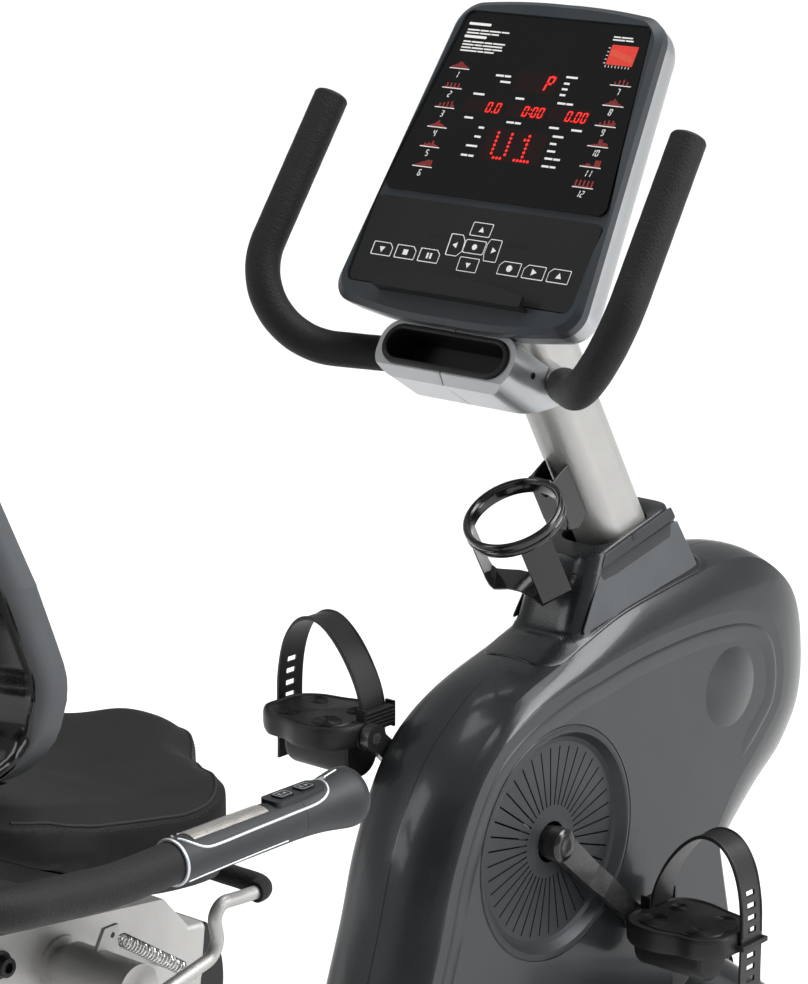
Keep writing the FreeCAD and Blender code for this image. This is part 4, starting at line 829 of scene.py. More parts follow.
def cup_ring():
    profile = [(-9.0, 47.0), (-9.6, 49.5), (-8.4, 51.6), (-5.5, 52.8), (-3.0, 52.2), (-2.0, 50.9),
               (-0.8, 50.9), (0.2, 52.3), (3.0, 53.0), (5.6, 52.4), (7.2, 50.6), (7.5, 48.9), (6.6, 47.6),
               (5.0, 47.2), (4.2, 46.2), (3.2, 45.5), (-5.0, 45.3), (-8.0, 45.7)]
    rings = [[on_cup(r * math.cos(a), r * math.sin(a), z) for a in turns(96)] for z, r in profile]
    return Parts().skin(rings, looped=True)


def cup_band():
    """Flat strap that hangs from the ring like a swing."""
    line = [(41.0, -4), (41.0, -30), (41.0, -58), (39.5, -66), (35, -70.5), (26, -69), (8, -65), (-10, -65),
            (-26, -69), (-36, -76), (-39.8, -79), (-41.6, -76), (-41.6, -50), (-41.6, -4)]
    rings = []
    for (y, z), run in zip(line, runs([Vector(p) for p in line])):
        out = Vector((run.y, -run.x)) * -1.25
        ring = []
        for w, side in ((-13.5, 1), (13.5, 1), (13.5, -1), (-13.5, -1)):
            py, pz = y + out.x * side, z + out.y * side
            ring.append(on_cup(-25 + w, py * (1 + 0.0155 * w), pz))
        rings.append(ring)
    return Parts().skin(rings)


def cup_channel():
    """Bracket with two walls back to the mast and a web behind the ring."""
    parts = Parts()
    for y in ((-15.5, -13.0), (13.0, 15.5)):
        side = [(49.5, 5), (79, 5), (79, -60), (62, -66), (49.5, -58)]
        parts.prism(side, y[0], y[1], lambda x, z, h: on_cup(x, h, z))
    hole = disc(0, -12, 4.4, 32)
    ring_out = []
    for a in turns(32):
        x, z = math.cos(a), math.sin(a)
        reach = min(15.5 / max(abs(x), 1e-6), (20 if z > 0 else 48) / max(abs(z), 1e-6))
        ring_out.append((x * reach, -12 + z * reach))
    rings = [[on_cup(x, y, z) for y, z in line] for line, x in
             ((ring_out, 49.0), (hole, 49.0), (hole, 51.5), (ring_out, 51.5))]
    parts.skin(rings, looped=True)
    return parts


cup_ring().make("cup_ring", GLOSS, "frame", slot="gloss_black", replaces=("cup_holder",))
cup_band().make("cup_band", GLOSS, "frame", slot="gloss_black", bevel=0.6)
cup_channel().make("cup_channel", GLOSS, "frame", slot="gloss_black", bevel=0.6)


# ---- storage pod -----------------------------------------------------------------------------
POD_FACE = -15.0
POD_MIDDLE = -51.5


def stadium(half, radius, count=14):
    """Outline of a slot, x half-length and end radius, about the pod's middle."""
    points = []
    for sign, start in ((1, -math.pi / 2), (-1, math.pi / 2)):
        for i in range(count + 1):
            a = start + math.pi * i / count
            points.append((sign * (half - radius) + radius * math.cos(a), POD_MIDDLE + radius * math.sin(a)))
    return points


def pod_rim():
    """Moulded rubber lip round the tray's mouth."""
    rings = []
    profile = [(77.0, POD_FACE + 1.2), (77.0, POD_FACE + 2.6), (75.7, POD_FACE + 4.0), (73.5, POD_FACE + 4.2),
               (71.8, POD_FACE + 3.0), (71.4, POD_FACE - 1.0), (72.0, POD_FACE - 3.0)]
    for half, z in profile:
        rings.append([on_console(x, y, z) for x, y in stadium(half, half - 56.5)])
    parts = Parts()
    parts.skin(rings, looped=True)
    parts.make("pod_rim", RUBBER, "frame", slot="rubber")


def pod_lines():
    """Dark joint down the middle of the pod, above and below the pocket, and the end screws."""
    seam = Parts()
    upper = [(-27.0, -0.4), (-33.5, -0.4)]
    lower = [(-70.0, -0.4), (-74.0, -0.5), (-81.7, -12.0), (-82.0, -60.0)]
    section = ((-0.45, 0.0), (-0.45, 0.65), (0.45, 0.65), (0.45, 0.0))
    for line in (upper, lower):
        rings = [[on_console(3 + x, y - lift * 0.35, POD_FACE + z + lift) for x, lift in section]
                 for y, z in line]
        seam.skin(rings)
    seam.make("pod_seam", GLOSS, "frame", slot="gloss_black")
    screws = Parts()
    for sign in (-1, 1):
        spot = on_console(sign * 84.0, -50.0, POD_FACE - 34.0)
        screws.lathe([(-1.0, 3.4), (0.35, 3.4), (0.35, 1.2)], spot, RIDER_RIGHT * sign, 24)
    screws.make("pod_screws", GLOSS, "frame", slot="gloss_black")


pod_rim()
pod_lines()


# ---- handlebar foams -------------------------------------------------------------------------
BAR_IN, BAR_FOAM = (45.5, 0.0, 472.4), (-57.0, 110.0, 489.0)
BAR_CORNER, BAR_TOP = (-167.0, 228.0, 507.0), (-17.3, 221.0, 729.4)
BAR_BEND = 80.0
BAR_R = 14.0
FOAM_R = 17.6


def foam_sleeve(path, radius, bore, closed_end, wrinkle=0.1):
    """A foam tube over a bar with a rounded or closed far end; radii in millimetres."""
    parts = Parts()
    radii, points = [], []
    first = path[0]
    on = (path[1] - first).normalized()
    for shift, r in ((0.0, bore), (0.0, radius - 1.0), (0.0006, radius - 0.25)):
        points.append(first + on * shift)
        radii.append(r * MM)
    for i, p in enumerate(path[1:-1]):
        points.append(p)
        radii.append((radius + wrinkle * math.sin(i * 0.9) * random.uniform(0.2, 1.0)) * MM)
    last = path[-1]
    back = (path[-2] - last).normalized()
    tail = [(0.0014, radius - 0.2), (0.0005, radius - 1.2), (0.0, radius - 3.2)]
    if closed_end:
        tail = [(0.005, radius), (0.0032, radius - 0.4), (0.0014, radius - 1.6), (0.0004, radius - 3.6),
                (0.0, radius - 6.5), (0.0, 3.0)]
    else:
        tail.append((0.0, bore))
    for shift, r in tail:
        points.append(last + back * shift)
        radii.append(r * MM)
    return parts.skin(rings_along(points, radii, 40), caps=closed_end)


def handlebar_foams():
    whole = bent_path([BAR_IN, BAR_CORNER, tuple(towards(BAR_TOP, BAR_CORNER, -5.0))], [BAR_BEND])
    start = at(*BAR_FOAM)
    nearest = min(range(len(whole)), key=lambda i: (whole[i] - start).length)
    path = whole[nearest:]
    for name, flip in SIDES:
        side = [Vector((p.x, CRANK.y + (p.y - CRANK.y) * flip, p.z)) for p in path]
        sleeve = foam_sleeve(side, FOAM_R, BAR_R + 0.1, True)
        grip = sleeve.make(f"handlebar_foam_{name}", FOAM, "frame", slot="foam",
                           replaces=("handlebar_foams",))


handlebar_foams()


# ---- seat lever foam and spring --------------------------------------------------------------
LEVER_Y = -180.0
BOLT_AT = (-760.0, 105.0)
SPRING_FRONT, SPRING_REAR, SPRING_Y = (-575.0, 52.0), (-672.0, 117.0), -110.0


def lever_foam():
    path = bent_path([(-568, LEVER_Y, 142), (-549, LEVER_Y, 141), (-549, 66, 141)], [18])
    grip = foam_sleeve(path, 9.5, 6.1, False, 0.1).make(
        "lever_grip_foam", FOAM, "lever", slot="foam", replaces=("lever_foam",))


def lever_spring():
    """Closely wound return spring with a hook at each end, on the carriage pin and the lever's tab."""
    front = at(SPRING_FRONT[0], SPRING_Y, SPRING_FRONT[1])
    rear = at(SPRING_REAR[0], SPRING_Y, SPRING_REAR[1])
    along = (rear - front).normalized()
    across = Vector((0, 1, 0))
    other = along.cross(across)
    length = (rear - front).length
    hook, turns_count, wire = 0.012, 22, 0.0009
    radius = 0.0056
    points = []
    for i in range(10):
        a = -math.pi * 0.9 + math.pi * i / 10
        points.append(front + along * (0.0045 * math.cos(a)) + other * (0.0045 * math.sin(a)))
    steps = turns_count * 20
    for i in range(steps + 1):
        a = 2 * math.pi * turns_count * i / steps
        place = hook + (length - 2 * hook) * i / steps
        swell = max(0.25, min(1.0, i / 20, (steps - i) / 20))
        round_about = across * math.sin(a) - other * math.cos(a)
        points.append(front + along * place + round_about * radius * swell)
    for i in range(10):
        a = -math.pi * 0.1 + math.pi * (i + 1) / 10
        points.append(rear - along * (0.0045 * math.cos(a)) + other * (0.0045 * math.sin(a)))
    coil = Parts().tube(points, wire, 8)
    coil = new_object("lever_return_spring", coil.vertices, coil.faces, ZINC)
    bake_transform(coil)
    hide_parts("lever_spring")


lever_foam()
lever_spring()


def carriage_bolts():
    """Socket-headed bolt with a washer on either side of the carriage."""
    skin = surface_of("carriage")
    bolts = Parts()
    for sign in (-1, 1):
        start, inward = at(BOLT_AT[0], sign * 400, BOLT_AT[1]), Vector((0, -sign, 0))
        face = skin.ray_cast(start, inward)[0]
        head = [(-0.5, 12.5), (1.6, 12.5), (2.0, 12.0), (2.2, 9.0), (10.5, 9.0), (11.6, 8.4), (12.0, 7.4),
                (12.0, 4.6), (7.0, 4.4), (7.0, 0.4)]
        bolts.lathe(head, face, -inward, 36)
    bolts.make("carriage_bolts", PLASTIC, "seat", slot="black_plastic")


carriage_bolts()


# ---- seat bar foams --------------------------------------------------------------------------
HANDLE_Y, HANDLE_Z = 245.0, 232.0
SEAT_BAR = [(-975, 0, 248), (-975, HANDLE_Y, 252), (-800, HANDLE_Y, 231), (-728, HANDLE_Y, HANDLE_Z),
            (-536, HANDLE_Y, HANDLE_Z)]
SEAT_BENDS = [85, 250, 600]
GRIP_START = -734.0


def seat_bar_foams():
    start = tuple(towards(SEAT_BAR[0], SEAT_BAR[1], 110))
    whole = bent_path([start] + SEAT_BAR[1:], SEAT_BENDS)
    path = [p for p in whole if p.x < at(GRIP_START, 0, 0).x - 0.0006]
    path.append(at(GRIP_START - 0.3, HANDLE_Y, HANDLE_Z))
    for name, flip in SIDES:
        side = [Vector((p.x, CRANK.y + (p.y - CRANK.y) * flip, p.z)) for p in path]
        grip = foam_sleeve(side, FOAM_R, BAR_R + 0.1, False).make(
            f"seat_bar_foam_{name}", FOAM, "seat", slot="foam", replaces=("seat_bar_foams",))


seat_bar_foams()


# ---- seat grips ------------------------------------------------------------------------------
def grip_radius(x):
    knots = [(-734, 19.5), (-591, 19.5), (-571, 20.2), (-553, 22.2), (-537, 24.8), (-528, 26.2)]
    for (x0, r0), (x1, r1) in zip(knots, knots[1:]):
        if x <= x1:
            return r0 + (r1 - r0) * max(0.0, x - x0) / (x1 - x0)
    return knots[-1][1]


def on_grip(x, angle, lift, sign):
    """A point on the handle's surface; angle is in degrees from the top, outwards."""
    a, r = math.radians(angle), grip_radius(x) + lift
    return at(x, sign * (HANDLE_Y + r * math.sin(a)), HANDLE_Z + r * math.cos(a))


def grip_line(points, width, sign):
    """A slightly raised moulded line; points are (x, angle)."""
    path = smooth_line([(x, angle, 0) for x, angle in points], 90)
    return Parts().tube([on_grip(p.x, p.y, 0.15, sign) for p in path], width / 2 * MM, 10)


def seat_grip(side, sign):
    origin, axis = at(0, sign * HANDLE_Y, HANDLE_Z), (1, 0, 0)
    bell = [(-593, 18.8), (-592, 19.7), (-583, 19.9), (-571, 20.6), (-561, 21.6), (-551, 22.9),
            (-541, 24.5), (-533, 25.8), (-527, 26.3), (-522.5, 25.9), (-520, 24.4), (-519, 21.5),
            (-518.6, 14.0), (-518.5, 4.0)]
    Parts().lathe(bell, origin, axis, 72).make(f"grip_flare_{side}", GRIP, "seat", slot="grip_slate")
    ring = [(-735.5, 17.9), (-735.5, 19.6), (-734.6, 20.1), (-733.4, 20.1), (-732.6, 19.6), (-732.6, 17.9)]
    circles = [[origin + Vector((x, math.sin(a) * r, math.cos(a) * r)) * MM for a in turns(64)]
               for x, r in ring]
    Parts().skin(circles, looped=True).make(f"grip_joint_ring_{side}", TRIM, "seat", slot="pod_silver")
    loop = [(-730, 8), (-722, 36), (-712, 55), (-698, 60), (-652, 58), (-606, 56), (-577, 54), (-563, 42),
            (-557, 22), (-555, 0)]
    loop += [(x, -angle) for x, angle in reversed(loop[:-1])]
    grip_line(loop, 2.6, sign).make(f"grip_trim_{side}", TRIM, "seat", slot="pod_silver")
    lines = Parts()
    for turn in (1, -1):
        knots = ((-728, 138), (-706, 132), (-656, 126), (-614, 124))
        line = grip_line([(x, angle * turn) for x, angle in knots], 1.5, sign)
        lines.take(line.vertices, line.faces)
    lines.make(f"grip_lower_trim_{side}", TRIM, "seat", slot="pod_silver")
    slot = Parts().tube([on_grip(x, -6, 0.1, sign) for x in (-534, -538, -542, -546, -549)], 1.1 * MM, 10)
    slot.prism(disc(0, 0, 3.0), -0.4, 0.5, lambda x, y, h: on_grip(-551 + x, -6 + y * 2.6, h, sign))
    slot.make(f"grip_slot_{side}", TRIM, "seat", slot="pod_silver")


KEY_TOP = 23.4


def key_icon(name, x, sign, direction):
    """Arrow and outline printed on a seat key."""
    body = f"key_{name}_{'left' if sign > 0 else 'right'}"
    parts = Parts()

    def place(u, v, h):
        return at(x + u, sign * HANDLE_Y + v, HANDLE_Z + KEY_TOP + h)

    outer = rectangle((-7.4, 7.4), (-5.3, 5.3), 2.2)
    inner = rectangle((-6.8, 6.8), (-4.7, 4.7), 1.8)
    parts.skin([[place(u, v, h) for u, v in line] for line, h in
                ((outer, 0.0), (outer, 0.14), (inner, 0.14), (inner, 0.0))], looped=True)
    parts.prism([(u * direction + 2.6, v) for u, v in triangle(0, 0, 2.4, 0)], 0.0, 0.14, place)
    for u in (-4.6, -2.8):
        parts.prism(rectangle((u, u + 0.9), (-2.2, 2.2)), 0.0, 0.14, place)
    parts.make(f"{body}_print", TRIM, body, slot="pod_silver")


for grip_side, grip_sign in SIDES:
    seat_grip(grip_side, grip_sign)
    key_icon("down", -603.0, grip_sign, -1)
    key_icon("up", -577.0, grip_sign, 1)


# ---- shroud details --------------------------------------------------------------------------
CREASE = [(-262, -290), (-236, -190), (-209, -105), (-191, -50), (-176, 2), (-160, 43), (-142, 76),
          (-118, 107), (-89, 131), (-46, 157), (2, 174)]
NOSE = [(292, 228), (328, 227), (371, 217), (403, 198), (431, 172), (447, 140), (453, 106), (454, 70),
        (446, 36), (430, 12), (411, -8), (383, -27), (346, -56), (318, -82)]
SIDE = [(-226, -190), (-200, -105), (-181, -50), (-167, 0), (-152, 36), (-134, 72), (-111, 104), (-84, 126),
        (-42, 145), (20, 161), (67, 168), (124, 176), (184, 180), (244, 181), (300, 177), (333, 170),
        (361, 158), (381, 140), (391, 120), (396, 98), (396, 75), (390, 52), (379, 38), (362, 22), (340, 3),
        (317, -16)]
SIDE_Y = 64.5


def spine_points(outline):
    """The outline at the middle plane, moved onto the shroud from outside."""
    line = smooth_line([(x, 0, z) for x, z in outline], 120)
    placed = []
    for p, run in zip(line, runs(line)):
        outward = Vector((-run.z, 0, run.x))
        start = at(p.x, 0.6, p.z) + outward * 0.06
        hit = SHROUD_SKIN.ray_cast(start, -outward)
        if hit[0] is not None:
            placed.append((hit[0], outward))
    return placed


def spine_seam():
    """Dark joint between the two halves of the shroud."""
    for name, outline in (("rear", CREASE), ("nose", NOSE)):
        rings = []
        for point, outward in spine_points(outline):
            rings.append([Vector((point.x, CRANK.y + y * MM, point.z)) + outward * lift * MM
                          for y, lift in ((-0.75, -0.4), (-0.75, 0.12), (0.75, 0.12), (0.75, -0.4))])
        Parts().skin(rings).make(f"shroud_seam_{name}", GLOSS, "frame", slot="gloss_black")


def side_ridge():
    """Low moulded step that follows the top edge of each side of the shroud."""
    line = smooth_line([(x, 0, z) for x, z in SIDE], 160)
    for side, sign in SIDES:
        rings = []
        for i, (p, run) in enumerate(zip(line, runs(line))):
            inward = Vector((run.z, 0, -run.x))
            near_end = min(1.0, i / 8, (len(line) - 1 - i) / 8)
            ring = []
            for d, lift in ((13, -0.5), (14, 0.1), (16.5, 0.9), (19, 1.0), (24, 0.6), (32, 0.15), (36, -0.5)):
                q = p + inward * d
                ring.append(at(q.x, sign * (SIDE_Y + lift * near_end - 0.5 * (1 - near_end)), q.z))
            rings.append(ring)
        Parts().skin(rings).make(f"shroud_side_ridge_{side}", SHROUD, "frame", slot="shroud")


def cover_rings():
    """Shadow gap round each crank cover, and the groove inside its rim."""
    for side, sign in SIDES:
        parts = Parts()
        for radius, y, thick in ((121.9, 64.6, 0.8), (112.0, 58.6, 0.7)):
            circle = [at(radius * math.cos(a), sign * y, radius * math.sin(a)) for a in turns(128)]
            parts.tube(circle, thick * MM, 8, looped=True)
        parts.make(f"crank_cover_gap_{side}", GLOSS, "frame", slot="gloss_black")


def crank_caps():
    profile = [(66, 16.5), (73.7, 17.2), (74.6, 16.6), (75.4, 14.5), (76.2, 13.6), (76.5, 12.0), (76.3, 6.0),
               (76.1, 1.5)]
    for side, sign in SIDES:
        cap = Parts().lathe([(sign * d, r) for d, r in profile], CRANK, (0, 1, 0), 56)
        cap.make(f"crank_cap_{side}", GLOSS, "crank", slot="gloss_black")


spine_seam()
side_ridge()
cover_rings()
crank_caps()


# ---- pedals ----------------------------------------------------------------------------------
PLATFORM = [(0, 80), (-30, 83), (-49, 100), (-53, 128), (-44, 155), (-42, 178), (-24, 198), (0, 200),
            (24, 199), (44, 180), (50, 152), (53, 126), (48, 100), (30, 83)]
STRAP_X = (2.0, 38.0)


def pedal_at(side, sign):
    """Places x, y (from the middle plane outwards) and z from the pedal's spindle."""
    joints = frame["record"]["behaviour"]["joints"]
    origin = next(Vector(j["pos_m"]) for j in joints if j["name"] == f"pedal_{side}_spin")
    return lambda x, y, z: Vector((origin.x + x * MM, sign * y * MM, origin.z + z * MM))


def wave(y):
    """The platform's gentle swell along its length."""
    return math.sin((y - 80) / 19.0)


def pedal(side, sign):
    place = pedal_at(side, sign)
    outline = [(p.x, p.y) for p in smooth_line([(x, y, 0) for x, y in PLATFORM], 96, closed=True)]

    def ring(scale, z, wavy=0.0):
        return [place(x * scale, 140 + (y - 140) * scale, z + wavy * wave(y)) for x, y in outline]

    platform = Parts()
    platform.skin([ring(*level) for level in (
        (0.92, -9), (0.965, -8), (0.99, -5), (1.0, 0), (1.0, 9, 0.4), (0.992, 12.4, 0.8), (0.975, 14.4, 1.0),
        (0.95, 14.9, 1.0), (0.925, 14.2, 1.0), (0.91, 13.1, 0.8), (0.80, 13.0, 0.8), (0.785, 14.3, 0.8),
        (0.60, 14.6, 0.8), (0.30, 14.7, 0.6), (0.02, 14.7, 0.3))])
    platform.make(f"pedal_platform_{side}", TREAD, f"pedal_{side}", slot="black_plastic",
                  replaces=(f"pedal_{side}",))
    tread = Parts()
    for x, y, radii in ((-24, 112, (3, 6, 9, 12, 15)), (22, 168, (3, 6, 9, 12)), (20, 112, (3, 6, 9)),
                        (-20, 166, (3, 6, 9, 12))):
        for r in radii:
            z = 14.9 + 0.6 * wave(y)
            tread.tube([place(u, v, z) for u, v in disc(x, y, r, 36)], 0.55 * MM, 6, looped=True)
    tread.make(f"pedal_tread_{side}", TREAD, f"pedal_{side}", slot="black_plastic")
    trough = Parts()
    rings = []
    for y, scale in ((86, 0.9), (87.5, 0.97), (90, 1.0), (166, 1.0), (169, 0.97), (171, 0.9)):
        u = [(24 * scale, -8.9), (24 * scale, -20)]
        u += [(24 * scale * math.cos(a), -22 - 23 * scale * math.sin(a)) for a in
              (math.pi * i / 18 for i in range(19))]
        u += [(-24 * scale, -20), (-24 * scale, -8.9)]
        rings.append([place(x, y, z) for x, z in u])
    trough.skin(rings)
    trough.make(f"pedal_weight_{side}", PLASTIC, f"pedal_{side}", slot="black_plastic", bevel=0.8)
    hub = [(79.0, 12.5), (79.2, 14.5), (81, 15.2), (90, 15.4), (96, 14.0)]
    Parts().lathe([(sign * d, r) for d, r in hub], place(0, 0, 0), (0, 1, 0), 40).make(
        f"pedal_hub_{side}", PLASTIC, f"pedal_{side}", slot="black_plastic")
    clip = Parts()
    x0, x1 = STRAP_X[0] - 4, STRAP_X[1] + 4
    for y in ((196.0, 201.2), (206.2, 209.0)):
        clip.block((x0, y[0], -3.5), (x1, y[1], 2.0), place)
    for x in ((x0, x0 + 3.5), (x1 - 3.5, x1)):
        clip.block((x[0], 200.8, -3.5), (x[1], 206.6, 2.0), place)
    clip.make(f"pedal_clip_{side}", PLASTIC, f"pedal_{side}", slot="black_plastic", bevel=0.7)
    buckle = Parts()
    buckle.block((STRAP_X[0] - 3.5, 80.0, 2), (STRAP_X[1] + 3.5, 87.2, 24), place)
    for i in range(5):
        buckle.block((STRAP_X[0] - 4, 79.3, 5 + i * 4.0), (STRAP_X[1] + 4, 88.0, 7 + i * 4.0), place)
    for x in (STRAP_X[0] - 5.5, STRAP_X[1] + 2.5):
        buckle.block((x, 79.5, 0), (x + 3, 91.5, 27), place)
    buckle.make(f"pedal_buckle_{side}", PLASTIC, f"pedal_{side}", slot="black_plastic", bevel=0.6)


def strap_ribs(side, sign):
    """Raised borders along both edges of the foot strap and its rounded tail."""
    place = pedal_at(side, sign)
    arch = ((89, 20), (91.5, 34), (106, 66), (128, 93), (152, 107), (176, 102), (194, 78), (202.5, 42),
            (204, 8))
    line = smooth_line([(0, y, z) for y, z in arch], 60)
    parts = Parts()
    for x in (STRAP_X[0] + 1.6, STRAP_X[1] - 1.6):
        path = [place(x, p.y - run.z * 0.1, p.z + run.y * 0.1) for p, run in zip(line, runs(line))]
        parts.tube(path, 1.15 * MM, 8)
    parts.make(f"strap_borders_{side}", STRAP, f"pedal_{side}", slot="strap")


for pedal_side, pedal_sign in SIDES:
    pedal(pedal_side, pedal_sign)
    strap_ribs(pedal_side, pedal_sign)


# ---- backrest shell --------------------------------------------------------------------------
BACK_LEVELS = [(300, 0.74), (330, 0.90), (390, 0.97), (480, 1.0), (600, 0.97), (700, 0.90), (762, 0.78),
               (790, 0.62)]
BACK_KNOTS = [(296, -846), (320, -833), (345, -823), (375, -820), (400, -825), (430, -838)]
BACK_HALF, BACK_DISH = 205.0, 48.0
BACK_LEAN = math.radians(24)
BACK_THICK = 26.0


def between(knots, z):
    for (z0, v0), (z1, v1) in zip(knots, knots[1:]):
        if z <= z1:
            return v0 + (v1 - v0) * max(0.0, z - z0) / (z1 - z0)
    return knots[-1][1]


def back_surface(y, z):
    """x of the backrest's rear face."""
    if z >= BACK_KNOTS[-1][0]:
        edge = BACK_KNOTS[-1][1] - (z - BACK_KNOTS[-1][0]) * math.tan(BACK_LEAN)
    else:
        edge = between(BACK_KNOTS, z)
    width = between(BACK_LEVELS, z)
    share = y / (BACK_HALF * width)
    return edge - BACK_DISH * width ** 2 * max(0.0, 1 - share ** 2)


def back_outline(count=160):
    """Closed outline of the backrest in the y-z plane, anticlockwise seen from the rear."""
    half = [(BACK_HALF * w, z) for z, w in BACK_LEVELS]
    corners = [(y, z) for y, z in half] + [(-y, z) for y, z in reversed(half)]
    soft = rounded_outline(corners, 60.0, 6)
    line = smooth_line([(0, y, z) for y, z in soft], count, closed=True)
    return [(p.y, p.z) for p in line]


def back_at(y, z, deep):
    """A point this far in front of the backrest's rear face."""
    return at(back_surface(y, min(max(z, 300), 790)) + deep, y, z)


def back_rim():
    """Grey band round the edge of the backrest's rear, narrower along its foot."""
    outline = back_outline()
    rings = []
    count = len(outline)
    for i, (y, z) in enumerate(outline):
        before, after = Vector(outline[i - 1]), Vector(outline[(i + 1) % count])
        run = (after - before).normalized()
        inward = Vector((-run.y, run.x))
        if inward.dot(Vector((0, 540)) - Vector((y, z))) < 0:
            inward = -inward
        wide = 0.18 + 0.82 * min(1.0, max(0.0, (z - 312) / 55))
        ring = []
        for d, deep in ((0.4, 24.0), (0.0, 12.0), (0.3, 6.5), (1.2, 3.2), (2.6, 1.4), (4.4, 0.4), (6.4, 0.2),
                        (8.0, 0.5), (8.8, 1.4), (9.0, 3.0), (9.0, 22.0)):
            ring.append(back_at(y + inward.x * d * wide, z + inward.y * d * wide, deep))
        rings.append(ring)
    Parts().skin(rings, looped=True).make("backrest_rim", BACK_GREY, "seat", slot="grip_slate",
                                          replaces=("backrest_shell",))


def back_panel():
    """Black rear panel, recessed either side of the mounting land and stepped towards its foot."""
    rows, columns = 84, 72
    vertices, faces = [], []
    for layer in (0, 1):
        for r in range(rows + 1):
            z = 303 + (784 - 303) * r / rows
            half = BACK_HALF * between(BACK_LEVELS, z) - 6
            foot = min(1.0, max(0.0, (z - 306) / 14))
            for c in range(columns + 1):
                y = half * (2 * c / columns - 1)
                edge = min(half - abs(y), 780 - z)
                inner = min(1.0, max(0.0, (edge - 7) / 5))
                land = min(1.0, max(0.0, (abs(y) - 74) / 8)) if z > 352 else 1.0
                step = 1.0 if z > 350 else 0.45 + 0.55 * max(0.0, (z - 342) / 8)
                deep = 2.2 + 11.0 * inner * land * step * foot
                vertices.append(back_at(y, z, BACK_THICK - 1.0 if layer else deep))
    width = columns + 1
    size = (rows + 1) * width
    for layer in (0, 1):
        for r in range(rows):
            for c in range(columns):
                a = layer * size + r * width + c
                faces.append((a, a + 1, a + width + 1, a + width))
    border = [c for c in range(width)] + [r * width + columns for r in range(1, rows + 1)]
    border += [rows * width + c for c in range(columns - 1, -1, -1)]
    border += [r * width for r in range(rows - 1, 0, -1)]
    for a, b in zip(border, border[1:] + border[:1]):
        faces.append((a, b, b + size, a + size))
    piece("backrest_panel", vertices, faces, GLOSS, "seat", slot="gloss_black")
    slots = Parts()
    for sign in (-1, 1):
        for i in range(9):
            z = 420 + i * 16
            path = [back_at(sign * y, z + (y - 100) * 0.12, 12.6) for y in range(96, 152, 8)]
            slots.tube(path, 2.4 * MM, 8)
    slots.make("backrest_vent_ribs", PLASTIC, "seat", slot="black_plastic")


back_rim()
back_panel()


# ---- cushions --------------------------------------------------------------------------------
VOXEL = 0.005
INSET = 0.004                       # a cover starts this far inside the CAD cushion
SWELL = 0.005                       # and the stuffing pushes it out by no more than this
PRESSURE = 4.0
CLOTH_FRAMES = 20


def remeshed(name, node, inset):
    """A copy of a CAD cushion as an even mesh, drawn in a little to leave room for swelling."""
    mesh = frame["nodes"][node].data.copy()
    thing = bpy.data.objects.new(name, mesh)
    bpy.context.scene.collection.objects.link(thing)
    remesh = thing.modifiers.new("even", "REMESH")
    remesh.mode, remesh.voxel_size, remesh.use_smooth_shade = "VOXEL", VOXEL, True
    bake(thing)
    work = bmesh.new()
    work.from_mesh(thing.data)
    bmesh.ops.recalc_face_normals(work, faces=work.faces)
    work.normal_update()
    moves = {v: v.normal * inset for v in work.verts}
    for v, move in moves.items():
        v.co -= move
    work.to_mesh(thing.data)
    work.free()
    return thing


def bake(thing):
    """Replaces the mesh by the one its modifiers make."""
    graph = bpy.context.evaluated_depsgraph_get()
    graph.update()
    made = bpy.data.meshes.new_from_object(thing.evaluated_get(graph))
    thing.modifiers.clear()
    thing.data = made


def inflated(thing, pressure, cap):
    """Swells a closed mesh like a stuffed cover; no point moves further than cap."""
    rest = [v.co.copy() for v in thing.data.vertices]
    cloth = thing.modifiers.new("cloth", "CLOTH")
    settings = cloth.settings
    settings.quality = 4
    settings.mass = 0.3
    settings.tension_stiffness = settings.compression_stiffness = 30.0
    settings.bending_stiffness = 12.0
    settings.use_pressure = True
    settings.uniform_pressure_force = pressure
    settings.effector_weights.gravity = 0.0
    cloth.point_cache.frame_start, cloth.point_cache.frame_end = 1, CLOTH_FRAMES
    scene = bpy.context.scene
    for step in range(1, CLOTH_FRAMES + 1):
        scene.frame_set(step)
    bake(thing)
    scene.frame_set(1)
    for v, start in zip(thing.data.vertices, rest):
        move = v.co - start
        if move.length > cap:
            v.co = start + move.normalized() * cap


def smoothed(thing, rounds):
    work = bmesh.new()
    work.from_mesh(thing.data)
    for _ in range(rounds):
        bmesh.ops.smooth_vert(work, verts=work.verts, factor=0.5, use_axis_x=True, use_axis_y=True,
                              use_axis_z=True)
    work.to_mesh(thing.data)
    work.free()


def upholstered(thing, material):
    thing.data.materials.clear()
    thing.data.materials.append(material)
    thing.data.shade_smooth()
    smoothing = thing.modifiers.new("smooth", "SUBSURF")
    smoothing.levels = smoothing.render_levels = 1


def shaped_seat(thing):
    """Rounds the cushion off towards its sides, with a pommel in front and a dish behind it."""
    for v in thing.data.vertices:
        x, y, z = (v.co - CRANK) / MM
        top = min(1.0, max(0.0, (z - 212) / 34))
        if x < -700:
            top = min(1.0, max(0.0, (z - 232) / 36))
        front = math.exp(-((x + 500) / 46) ** 2)
        side = max(0.0, abs(y) - 26) / 70
        lower = 26 * front * min(1.0, side ** 1.4)
        dish = 9 * math.exp(-((x + 640) / 95) ** 2) * math.exp(-(y / 130) ** 2)
        rise = -5 * math.exp(-((x + 505) / 34) ** 2) * math.exp(-(y / 46) ** 2)
        edge = 7 * min(1.0, max(0.0, (abs(y) - 168) / 44)) ** 2
        v.co.z -= top * (lower + dish + rise + edge) * MM


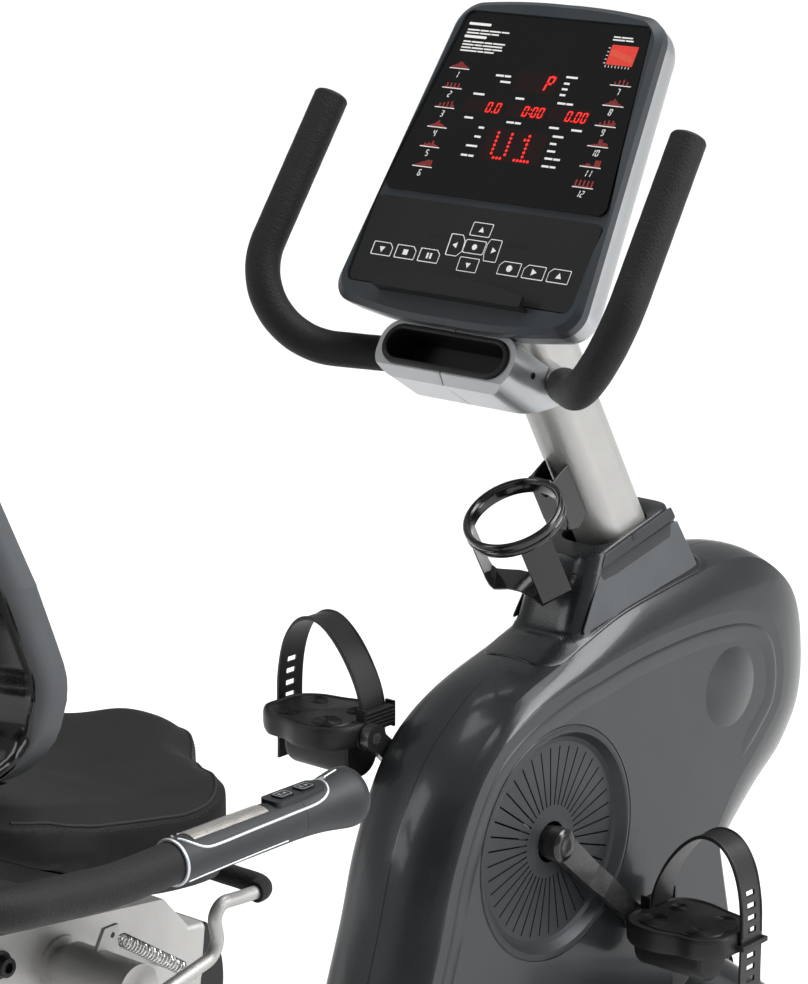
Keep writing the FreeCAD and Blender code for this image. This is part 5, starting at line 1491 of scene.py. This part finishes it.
def cushion_cover(node, rounds, shape=None):
    """The upholstered cover that stands for a CAD cushion."""
    cushion = remeshed(f"{node}_cover", node, INSET)
    if shape:
        shape(cushion)
    smoothed(cushion, rounds)
    inflated(cushion, PRESSURE, SWELL)
    smoothed(cushion, 6)
    upholstered(cushion, VINYL)
    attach(cushion, "seat")
    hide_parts(node)
    return cushion


def cover_skin(cushion):
    graph = bpy.context.evaluated_depsgraph_get()
    graph.update()
    shape = cushion.evaluated_get(graph)
    mesh = shape.to_mesh()
    spots = [cushion.matrix_world @ v.co for v in mesh.vertices]
    tree = BVHTree.FromPolygons(spots, [tuple(p.vertices) for p in mesh.polygons])
    shape.to_mesh_clear()
    return tree


def laid(tree, points, rounds=6):
    """The points brought onto the cover, evened out along their line, with its normals there."""
    spots = [tree.find_nearest(p)[0] for p in points]
    for _ in range(rounds):
        spots[1:-1] = [(a + b * 2 + c) / 4 for a, b, c in zip(spots, spots[1:], spots[2:])]
        spots = [tree.find_nearest(p)[0] for p in spots]
    return [(spot, tree.find_nearest(spot)[1]) for spot in spots]


def seam(name, cushion, line, away):
    """A welt along a seam, with a row of stitches beside it; away points to the stitches' side."""
    tree = cover_skin(cushion)
    welt = laid(tree, [at(*p) for p in smooth_line(line, 300)])
    path = [spot + normal * 0.3 * MM for spot, normal in welt]
    Parts().tube(path, 1.5 * MM, 10).make(f"{name}_welt", THREAD, "seat", slot="vinyl")
    row = laid(tree, [spot + away(spot) * 5.5 * MM for spot, _ in welt])
    stitches = Parts()
    for (a, up), (b, _) in zip(row[::2], row[1::2]):
        middle_point, half = (a + b) / 2, (b - a).normalized() * 1.7 * MM
        ends = [middle_point - half - up * 0.3 * MM, middle_point + up * 0.35 * MM,
                middle_point + half - up * 0.3 * MM]
        stitches.tube(ends, 0.5 * MM, 6)
    stitches.make(f"{name}_stitches", THREAD, "seat", slot="vinyl")


SEAT_SEAM = [(-848, 191, 312), (-826, 199, 300), (-769, 210, 282), (-703, 214, 268), (-644, 209, 259),
             (-579, 146, 260), (-511, 66, 245), (-482, 23, 249)]


def cushion_seams():
    seat = cushion_cover("seat_cushion", 6, shaped_seat)
    back = cushion_cover("backrest_cushion", 8)
    line = SEAT_SEAM + [(x, -y, z) for x, y, z in reversed(SEAT_SEAM)]
    seam("seat_seam", seat, line, lambda spot: Vector((0, 0, -1)))
    heart = back_at(0, 540, BACK_THICK) - CRANK
    rim = []
    for y, z in back_outline(120):
        y, z = y * 0.93, 540 + (z - 540) * 0.94
        rim.append(tuple((back_at(y, z, BACK_THICK + 30) - CRANK) / MM))
    start = min(range(len(rim)), key=lambda i: rim[i][2])
    rim = rim[start:] + rim[:start + 1]
    seam("backrest_seam", back, rim, lambda spot: (CRANK + heart - spot).normalized())


cushion_seams()
